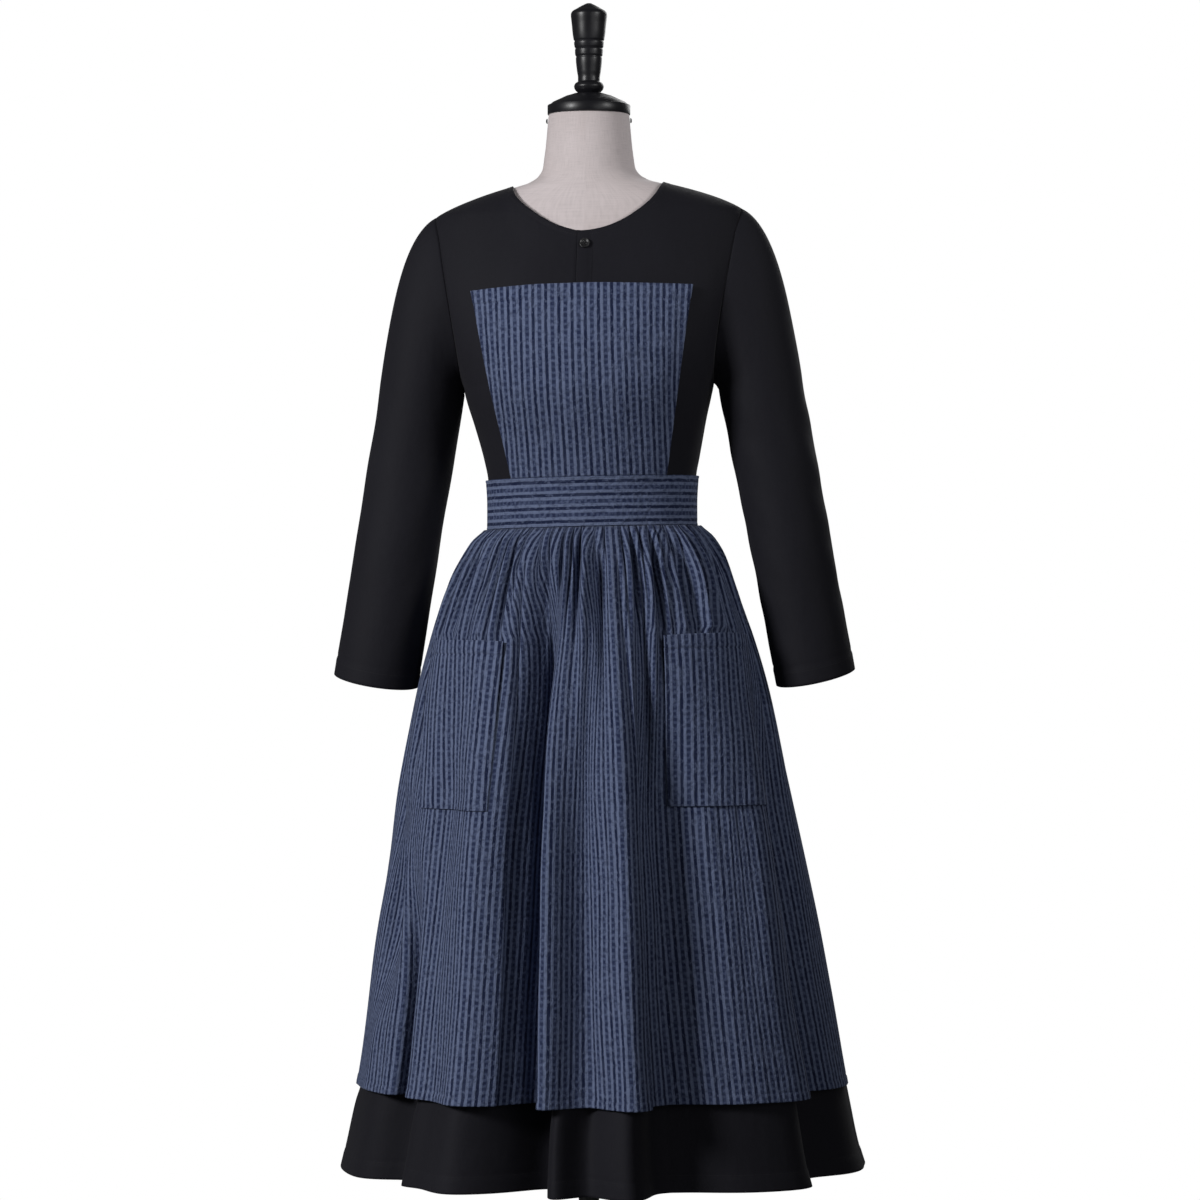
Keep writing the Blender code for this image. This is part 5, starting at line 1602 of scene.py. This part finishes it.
@dataclass
class ApronSkirt:
    """The gathered front skirt of the apron.

    Its stripes keep their width on the panels between the folds, and the spare cloth disappears into the
    gathers and the folds.
    """

    finishes: Finishes
    shape: SkirtShape = field(default_factory=SkirtShape)
    anchors: tuple[float, ...] = (-90.0, -65.0, -52.0, -36.0, -7.0, 13.0, 46.0, 66.0, 84.0, 90.0)
    valleys: tuple[tuple[float, float], ...] = (
        (-76.0, 5.0), (-59.0, 3.0), (-45.0, 2.6), (-13.0, 3.4), (2.0, 3.0), (26.0, 4.5), (56.0, 3.0),
        (76.0, 4.0), (87.0, 3.0),
    )
    columns: int = 430
    rows: tuple[int, int, int] = (36, 64, 13)
    wall: float = 0.0012
    hem: float = 0.0100
    hem_rise: float = 0.0005
    hem_stitch: float = 0.0012
    side_hem: float = 0.006
    side_hem_rise: float = 0.0004
    waves: float = 0.0015
    half_width: float = 0.45
    least_weight: float = 0.002
    calm_under_pockets: float = 0.85
    stitch_points: int = 1600

    def build(self) -> None:
        """Builds the skirt and its stitching."""
        top = BAND_BOTTOM - SEAM_GAP
        above, middle, below = self.rows
        share = np.concatenate(
            (np.linspace(0, 0.2, above)[:-1], np.linspace(0.2, 0.970, middle), np.linspace(0.972, 1, below))
        )
        height = top - share * (top - APRON_HEM)
        across, height = np.meshgrid(np.linspace(-1, 1, self.columns + 1), height)
        points = self.shape.apron(across, height)
        down = down_columns(points)
        flat = np.stack((self.cut_across(across, self.shape.share_down(height), points), down), axis=-1)
        panel = ClothPanel("apron_skirt_cloth", points, flat, self.wall)
        from_hem = down[-1, 0] - down
        from_side = (1 - np.abs(across)) * self.half_width * (0.4 + 0.6 * self.shape.share_down(height))
        relief = turned_fold(from_hem, self.hem, self.hem_rise)
        relief = relief + turned_fold(from_side, self.side_hem, self.side_hem_rise)
        loose = eased(self.shape.share_down(height), 0.05, 0.5)
        waves = ripple(flat[..., 0], down, 0.034, 41, 7.0) + 0.6 * ripple(flat[..., 0], down, 0.08, 42, 2.5)
        free = 1 - self.calm_under_pockets * self.shape.under_pockets(across, height)
        relief = relief + self.waves * loose * waves * free
        panel.lift(relief)
        cloth = panel.build(self.finishes.apron)
        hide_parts("apron_skirt")
        hem_row = np.interp(down[-1, 0] - self.hem + self.hem_stitch, down[:, 0], np.arange(len(down)))
        line = panel.along_row(hem_row, 0, self.columns, self.stitch_points)
        stitching = Stitching(0.0034, 0.0022, 0.0004)
        seam = stitching.lay("apron_skirt_stitches", [line], self.finishes.apron_thread)

    def cut_across(self, across: np.ndarray, share: np.ndarray, points: np.ndarray) -> np.ndarray:
        """Place of each point across the cut cloth.

        Args:
            across: place across the skirt.
            share: share of the way down.
            points: the skirt's points.

        Returns:
            The distance across the cut cloth in metres, true to length on the panels between the valleys.
        """
        degrees = across * 90
        run = along_rows(points)
        shape = self.shape
        fine = (1 - shape.gather_ridge(across, shape.fine_gathers, shape.fine_seed)) ** 3
        broad = (1 - shape.gather_ridge(across, shape.broad_gathers, shape.broad_seed)) ** 3
        valley = sum(bump(degrees - at, wide, wide) for at, wide in self.valleys)
        upper = 1 - eased(share, 0.04, 0.16)
        middle = (1 - upper) * (1 - eased(share, 0.16, 0.5))
        weight = self.least_weight + fine * upper + broad * middle + valley * (1 - upper - 0.7 * middle)
        spent = np.cumsum(weight, axis=1)
        cut = np.zeros_like(run)
        marks = [int(round((anchor + 90) / 180 * self.columns)) for anchor in self.anchors]
        for first, last in zip(marks, marks[1:]):
            wanted = run[-1, last] - run[-1, first]
            spare = wanted - (run[:, last] - run[:, first])
            piece = slice(first, last + 1)
            so_far = spent[:, piece] - spent[:, first : first + 1]
            part = so_far / (spent[:, last] - spent[:, first])[:, None]
            along = run[:, piece] - run[:, first : first + 1]
            cut[:, piece] = run[-1, first] + along + spare[:, None] * part
        return cut


@dataclass
class ApronPockets:
    """Two patch pockets with hemmed mouths that stand a little open."""

    finishes: Finishes
    shape: SkirtShape = field(default_factory=SkirtShape)
    gape: float = 0.0052
    lift: float = 0.0018
    wall: float = 0.0012
    mouth_hem: float = 0.0170
    mouth_hem_rise: float = 0.0009
    mouth_stitch: float = 0.0014
    flat_height: float = 0.206
    seam_inset: float = 0.0022
    seam_rise: float = 0.0003
    width: float = 0.15
    waves: float = 0.0012
    stitch_points: int = 240
    columns: int = 90
    rows: int = 120

    def build(self) -> None:
        """Builds both pockets and their stitching."""
        for size in self.shape.pockets:
            name = f"pocket_{size.side.name.lower()}"
            panel = self.panel(f"{name}_cloth", size)
            cloth = panel.build(self.finishes.apron)
            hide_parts(name)
            tall = size.mouth - size.bottom
            wide = self.seam_inset / self.width * self.columns
            deep = self.rows - self.seam_inset / tall * self.rows
            hem = (self.mouth_hem - self.mouth_stitch) / tall * self.rows
            last, points = self.columns - wide, self.stitch_points
            runs = [panel.along_column(column, 0, deep, points) for column in (wide, last)]
            runs += [panel.along_row(row, wide, last, points) for row in (hem, deep)]
            seam = Stitching().lay(f"{name}_stitches", runs, self.finishes.apron_thread)

    def panel(self, name: str, size: PocketSize) -> ClothPanel:
        """One pocket on the apron's surface.

        Args:
            name: the panel's name.
            size: which pocket.

        Returns:
            The panel.
        """
        step, share_up = np.meshgrid(np.linspace(0, 1, self.columns + 1), np.linspace(1, 0, self.rows + 1))
        first = size.bottom_span[0] + (size.mouth_span[0] - size.bottom_span[0]) * share_up
        last = size.bottom_span[1] + (size.mouth_span[1] - size.bottom_span[1]) * share_up
        across = -1 + 2 * (first + (last - first) * step) / APRON_COLUMNS
        height = size.bottom + (size.mouth - size.bottom) * share_up
        swing = curves(self.shape.gather_levels)[0](self.shape.share_down(height))
        gape = self.gape * share_up**3 * np.sin(math.pi * step) ** 0.7
        points = self.shape.apron(across, height, gathered=False)
        down = down_columns(points)
        flat = np.stack((along_rows(points), down), axis=-1)
        panel = ClothPanel(name, points, flat, self.wall)
        step_across = np.minimum(step, 1 - step) * self.width
        from_edge = np.minimum(step_across, down[-1, 0] - down)
        relief = turned_fold(down, self.mouth_hem, self.mouth_hem_rise)
        relief = relief + turned_fold(from_edge, self.seam_inset, self.seam_rise)
        relief = relief + self.waves * ripple(flat[..., 0], down, 0.045, 51, 2.0) * eased(from_edge, 0, 0.02)
        panel.lift(self.lift + swing + gape + self.wall + relief)
        return panel


# Buttons


@dataclass
class DressButtons:
    """The neck button and the two that close the waistband, each with four holes and its thread."""

    finishes: Finishes
    band: ApronWaistband
    bodice: BodiceShape = field(default_factory=BodiceShape)
    thickness: float = 0.0024
    neck_radius: float = 0.0063
    band_radius: float = 0.0075
    neck_place: tuple[float, float] = (0.0018, 1.3565)
    neck_lift: float = 0.0015
    band_lift: float = 0.0007
    hole_from_centre: float = 0.27
    hole_radius: float = 0.00055
    hole_depth: float = 0.0011
    band_heights: tuple[float, float] = (1.0335, 1.0625)

    def build(self) -> None:
        """Builds the three buttons in place."""
        x, z = (np.array(place) for place in self.neck_place)
        across = self.bodice.across_at(Face.FRONT, x, z)
        normal = self.bodice.normal(Face.FRONT, across, z)
        centre = self.bodice.point(Face.FRONT, across, z) + normal * self.neck_lift
        self.button("neck_button", centre, normal, self.neck_radius)
        for number, height in enumerate(self.band_heights, 1):
            angle = np.array(math.pi)
            lift = self.band.lift(angle) + self.band.wall + self.band_lift
            centre = self.band.point(angle, np.array(height), lift)
            self.button(f"band_button_{number}", centre, np.array((0.0, 1.0, 0.0)), self.band_radius)

    def button(self, name: str, centre: np.ndarray, normal: np.ndarray, radius: float) -> None:
        """Builds one button and its thread.

        Args:
            name: the node that it stands for.
            centre: the middle of its back.
            normal: the way that it faces.
            radius: its radius.
        """
        turn = Vector(normal.tolist()).to_track_quat("Z", "Y").to_matrix().to_4x4()
        place = Matrix.Translation(Vector(centre.tolist())) @ turn
        rings = ((0.0, 0.0), (0.70, 0.0), (0.92, 0.10), (1.0, 0.35), (1.0, 0.70), (0.95, 0.95), (0.88, 1.0))
        inner = ((0.80, 0.95), (0.72, 0.72), (0.66, 0.60), (0.60, 0.56))
        steps = [*rings, *inner, *((s, 0.55) for s in np.linspace(0.56, 0.0, 15))]
        share = np.array([ring[0] for ring in steps])[:, None]
        rise = np.array([ring[1] for ring in steps])[:, None] * self.thickness
        angle = np.linspace(0, 2 * math.pi, 65)[None, :]
        x, y = share * radius * np.cos(angle), share * radius * np.sin(angle)
        reach = self.hole_from_centre * radius
        spots = [(reach * i, reach * j) for i in (-1, 1) for j in (-1, 1)]
        holes = sum(bump(np.hypot(x - i, y - j), self.hole_radius, self.hole_radius) for i, j in spots)
        top = (np.arange(len(steps)) >= len(rings))[:, None]
        points = stacked(x, y, rise - self.hole_depth * np.clip(1.4 * holes, 0, 1) * top)
        middle = np.array((0, 0, self.thickness / 3))
        panel = ClothPanel(f"{name}_body", points, points[..., :2], 0.0, True, middle)
        body = panel.build(self.finishes.button)
        body.data.transform(place)
        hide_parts(name)
        line = np.linspace(-1, 1, 9)
        runs = []
        for way in (-1, 1):
            x, y = reach * line, reach * line * way
            arch = stacked(x, y, self.thickness * 0.55 + 0.0003 * (1 - line**2))
            world = np.array([(place @ Vector(point.tolist()))[:] for point in arch])
            runs.append((world, np.repeat(normal[None, :], 9, axis=0)))
        thread = Stitching(0.0011, 0.0016, 0.0005).lay(f"{name}_thread", runs, self.finishes.dress_thread)


# Dress form and stand


def spun(
    name: str, profile: list[tuple[float, float]], paint: bpy.types.Material, sides: int = 96
) -> bpy.types.Object:
    """A turned piece about the pole's axis.

    Args:
        name: the object's name.
        profile: radius and height from bottom to top.
        paint: its material.
        sides: steps round it.

    Returns:
        The new object.
    """
    builder = bmesh.new()
    verts = [builder.verts.new((radius, 0, height)) for radius, height in profile]
    edges = [builder.edges.new(pair) for pair in zip(verts, verts[1:])]
    turn = {"cent": (0, 0, 0), "axis": (0, 0, 1), "angle": 2 * math.pi, "steps": sides}
    bmesh.ops.spin(builder, geom=verts + edges, use_merge=True, **turn)
    bmesh.ops.remove_doubles(builder, verts=builder.verts, dist=1e-6)
    bmesh.ops.recalc_face_normals(builder, faces=builder.faces)
    mesh = finished(builder, name)
    mesh.shade_smooth()
    mesh.set_sharp_from_angle(angle=math.radians(35))
    return placed(name, mesh, paint)


@dataclass
class DressForm:
    """The linen-covered torso and neck, with its cap, handle and screws."""

    finishes: Finishes
    levels: tuple[tuple[float, ...], ...] = (
        (0.800, 0.1500, 0.1000, 0.1080),
        (0.812, 0.1560, 0.1060, 0.1140),
        (0.850, 0.1600, 0.1100, 0.1200),
        (0.900, 0.1540, 0.1080, 0.1160),
        (0.960, 0.1340, 0.1000, 0.1000),
        (1.010, 0.1165, 0.0920, 0.0840),
        (1.050, 0.1165, 0.0910, 0.0830),
        (1.100, 0.1225, 0.0990, 0.0880),
        (1.150, 0.1350, 0.1150, 0.0960),
        (1.190, 0.1430, 0.1270, 0.1020),
        (1.230, 0.1450, 0.1260, 0.1060),
        (1.280, 0.1490, 0.1120, 0.1070),
        (1.330, 0.1560, 0.0920, 0.1010),
        (1.3700, 0.1660, 0.0770, 0.0890),
        (1.3900, 0.1710, 0.0690, 0.0800),
        (1.4010, 0.1715, 0.0645, 0.0735),
        (1.4090, 0.1640, 0.0610, 0.0685),
        (1.4190, 0.1380, 0.0570, 0.0625),
        (1.4280, 0.1102, 0.0545, 0.0582),
        (1.4345, 0.0906, 0.0540, 0.0566),
        (1.4390, 0.0750, 0.0526, 0.0546),
        (1.4470, 0.0620, 0.0512, 0.0530),
        (1.4560, 0.0565, 0.0503, 0.0518),
        (1.4800, 0.0530, 0.0490, 0.0503),
        (1.5210, 0.0492, 0.0475, 0.0485),
    )
    cap_radius: float = 0.0505
    cap_peak: float = 1.5470
    cap_rim: float = 0.0109
    neck_top: float = 1.5210
    screw_drop: float = 0.0070
    screw_radius: float = 0.0032
    screw_flatness: float = 0.62
    screw_lift: float = 0.0008
    handle: tuple[tuple[float, float], ...] = (
        (0.0000, 0.0125), (0.0025, 0.0150), (0.0050, 0.0171), (0.0086, 0.0182), (0.0122, 0.0168),
        (0.0150, 0.0134), (0.0196, 0.0134), (0.0270, 0.0145), (0.0430, 0.0160), (0.0450, 0.0155),
        (0.0470, 0.0167), (0.0532, 0.0171), (0.0550, 0.0164), (0.0568, 0.0175), (0.0622, 0.0182),
        (0.0640, 0.0175), (0.0658, 0.0187), (0.0855, 0.0211), (0.0964, 0.0221), (0.0998, 0.0208),
        (0.1035, 0.0150), (0.1070, 0.0090), (0.1100, 0.0030),
    )

    def build(self) -> None:
        """Builds the form and what is fixed to its neck."""
        self.torso()
        self.cap()
        self.turned_handle()
        self.screws()

    def torso(self) -> None:
        """The covered torso, one smooth body closed at the hips and the neck's top."""
        read = np.array([level[0] for level in self.levels])
        body, shoulders = np.linspace(read[0], 1.39, 70), np.linspace(1.39, 1.46, 50)
        height = np.unique(np.concatenate((body, shoulders, read)))
        height = np.concatenate((height[:1], height, [1.49, 1.505, self.neck_top, self.neck_top]))
        height = np.sort(height)[:, None]
        angle = np.linspace(0, 2 * math.pi, 97)[None, :]
        half, front, back = (curve(height) for curve in curves(self.levels))
        keep = np.ones_like(height)
        keep[0], keep[-1] = 0.0, 0.0
        x = half * np.sin(angle) * keep + waist_shift(height)
        depth = np.where(np.cos(angle) >= 0, front, back)
        tilt = dress_tilt(x, height) * (1 - eased(height, 1.44, 1.48))
        points = stacked(x, -depth * np.cos(angle) * keep, height + tilt)
        flat = np.stack(np.broadcast_arrays(angle * 0.055, height), axis=-1)
        centre = points[:, :-1].mean(axis=1, keepdims=True)
        cover = ClothPanel("form_cover", points, flat, 0.0, True, centre).build(self.finishes.linen)
        cover.data.set_sharp_from_angle(angle=math.radians(50))
        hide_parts("form_torso")

    def cap(self) -> None:
        """The turned cap on the neck."""
        bottom, r, peak = self.neck_top + SEAM_GAP, self.cap_radius, self.cap_peak
        rim = bottom + self.cap_rim
        profile = [
            (0.0, bottom), (r - 0.0010, bottom), (r - 0.0003, bottom + 0.0003), (r, bottom + 0.0010),
            (r, rim), (r - 0.0004, rim + 0.0007), (r - 0.0012, rim + 0.0010), (r - 0.0020, rim + 0.0008),
            (0.0445, peak - 0.0105), (0.0365, peak - 0.0068), (0.0285, peak - 0.0030),
            (0.0200, peak - 0.0004), (0.0190, peak), (0.0, peak),
        ]
        cap = spun("neck_cap_lacquered", profile, self.finishes.lacquer, 128)
        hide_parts("neck_cap")

    def turned_handle(self) -> None:
        """The turned handle above the cap, with its beads rounded."""
        base = self.cap_peak + SEAM_GAP
        radius = curves(self.handle)[0]
        tall = self.handle[-1][0]
        rises = np.unique(np.concatenate((np.linspace(0, tall, 110), [row[0] for row in self.handle])))
        side = [(float(radius(rise)), base + float(rise)) for rise in rises]
        profile = [(0.0, base), *side, (0.0, base + tall)]
        handle = spun("cap_handle_lacquered", profile, self.finishes.lacquer)
        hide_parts("cap_handle")

    def screws(self) -> None:
        """A round-headed screw on each side of the neck, just below the cap."""
        height = self.neck_top - self.screw_drop
        half = float(curves(self.levels)[0](height))
        for side in Side:
            builder = bmesh.new()
            bmesh.ops.create_uvsphere(builder, u_segments=32, v_segments=20, radius=self.screw_radius)
            bmesh.ops.scale(builder, vec=(1, 1, self.screw_flatness), verts=builder.verts)
            ball = builder.verts[:] + builder.edges[:] + builder.faces[:]
            cut = bmesh.ops.bisect_plane(
                builder, geom=ball, plane_co=(0, 0, 0), plane_no=(0, 0, -1), clear_outer=True
            )
            rim = [item for item in cut["geom_cut"] if isinstance(item, bmesh.types.BMEdge)]
            bmesh.ops.contextual_create(builder, geom=rim)
            turn = Vector((side.value, 0, 0)).to_track_quat("Z", "Y").to_matrix().to_4x4()
            place = Matrix.Translation((side.value * (half + self.screw_lift), 0, height)) @ turn
            bmesh.ops.transform(builder, matrix=place, verts=builder.verts)
            bmesh.ops.recalc_face_normals(builder, faces=builder.faces)
            name = f"neck_screw_{side.name.lower()}"
            mesh = finished(builder, f"{name}_head")
            mesh.shade_smooth()
            mesh.set_sharp_from_angle(angle=math.radians(40))
            head = placed(f"{name}_head", mesh, self.finishes.steel)
            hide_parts(name)


@dataclass
class RoundStand:
    """Pole, its collar and the round base on the floor."""

    finishes: Finishes
    base_radius: float = 0.190
    base_top: float = 0.012
    crown: float = 0.016
    crown_radius: float = 0.030
    pole_radius: float = 0.0125
    pole_top: float = 0.800
    collar_radius: float = 0.022
    collar_top: float = 0.061

    def build(self) -> None:
        """Builds the three pieces."""
        r, top = self.base_radius, self.base_top
        base = [
            (0.0, 0.0), (r - 0.002, 0.0), (r - 0.0006, 0.0006), (r, 0.002), (r, top - 0.003),
            (r - 0.0009, top - 0.0009), (r - 0.003, top), (r - 0.012, top + 0.0003),
            (self.crown_radius, self.crown), (0.0, self.crown),
        ]
        low, bore = self.crown + SEAM_GAP, self.pole_radius + SEAM_GAP
        r, top = self.collar_radius, self.collar_top
        collar = [
            (bore, low), (r, low), (r, top - 0.006), (r - 0.0018, top - 0.0018), (r - 0.006, top),
            (bore, top), (bore, low),
        ]
        pole = [
            (0.0, low), (self.pole_radius, low), (self.pole_radius, self.pole_top - SEAM_GAP),
            (0.0, self.pole_top - SEAM_GAP),
        ]
        pieces = (("stand_base", base, 160), ("stand_collar", collar, 96), ("stand_pole", pole, 64))
        for name, profile, sides in pieces:
            piece = spun(f"{name}_painted", profile, self.finishes.stand, sides)
            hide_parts(name)


# Studio


@dataclass
class Studio:
    """Camera at the photograph's viewing angle, soft light from the picture's left, pale floor."""

    finishes: Finishes
    distance: float = 5.0
    height: float = 0.93
    azimuth: float = math.radians(4.5)
    frame_width: float = 1.463
    shift_x: float = 0.0092

    def build(self) -> None:
        """Builds floor, lights and camera."""
        builder = bmesh.new()
        bmesh.ops.create_circle(builder, cap_ends=True, segments=96, radius=14.0)
        mesh = finished(builder, "studio_floor")
        mesh.materials.append(self.finishes.floor)
        floor = bpy.data.objects.new("studio_floor", mesh)
        bpy.context.scene.collection.objects.link(floor)
        self.light("key_light", (-3.2, -3.0, 2.4), (0, 0, 1.1), 1.0, 178.0)
        self.light("fill_light", (2.4, -3.6, 1.6), (0, 0, 0.9), 2.2, 20.0)
        self.light("side_light", (2.6, -1.7, 2.3), (0, 0, 1.50), 0.7, 1.5, math.radians(36))
        self.light("back_light", (1.2, 3.0, 2.6), (0, 0, 1.1), 2.0, 30.0)
        self.world()
        self.camera()

    def light(
        self, name: str, place: Colour, aim: Colour, size: float, power: float, spread: float = math.pi
    ) -> None:
        """A soft square lamp.

        Args:
            name: the lamp's name.
            place: where it stands.
            aim: what it points at.
            size: length of its side.
            power: its power in watts.
            spread: the angle that it shines into.
        """
        lamp = bpy.data.lights.new(name, "AREA")
        lamp.size = size
        lamp.energy = power
        lamp.spread = spread
        thing = bpy.data.objects.new(name, lamp)
        thing.location = place
        thing.rotation_euler = (Vector(aim) - Vector(place)).to_track_quat("-Z", "Y").to_euler()
        bpy.context.scene.collection.objects.link(thing)

    def world(self) -> None:
        """White behind the object, and a dimmer even light on it."""
        world = bpy.data.worlds.new("studio")
        world.use_nodes = True
        nodes = Nodes(world.node_tree)
        seen = nodes.add("ShaderNodeLightPath").outputs["Is Camera Ray"]
        strength = nodes.math("MULTIPLY_ADD", seen, 0.92, 0.08)
        sky = world.node_tree.nodes["Background"]
        sky.inputs["Color"].default_value = (1, 1, 1, 1)
        world.node_tree.links.new(strength, sky.inputs["Strength"])
        bpy.context.scene.world = world
        bpy.context.scene.view_settings.view_transform = "Standard"

    def camera(self) -> None:
        """The photograph's camera: level and a little to the right of the front."""
        lens = bpy.data.cameras.new("photo_camera")
        lens.sensor_width = 36.0
        lens.lens = 36.0 * self.distance / self.frame_width
        lens.shift_x = self.shift_x
        camera = bpy.data.objects.new("photo_camera", lens)
        x, y = self.distance * math.sin(self.azimuth), -self.distance * math.cos(self.azimuth)
        camera.location = (x, y, self.height)
        camera.rotation_euler = (math.radians(90), 0, self.azimuth)
        bpy.context.scene.collection.objects.link(camera)
        bpy.context.scene.camera = camera


def main() -> None:
    """Builds every piece of the part, then its studio."""
    logging.basicConfig(level=logging.INFO, format="%(message)s")
    finishes = Finishes()
    band = ApronWaistband(finishes)
    parts = (
        DressForm(finishes),
        RoundStand(finishes),
        DressBodice(finishes),
        DressSleeves(finishes),
        DressSkirt(finishes),
        NeckPlacket(finishes),
        ApronBib(finishes),
        band,
        ApronSkirt(finishes),
        ApronPockets(finishes),
        DressButtons(finishes, band),
        Studio(finishes),
    )
    for part in parts:
        LOG.info("%s", type(part).__name__)
        part.build()


if __name__ == "__main__":
    main()
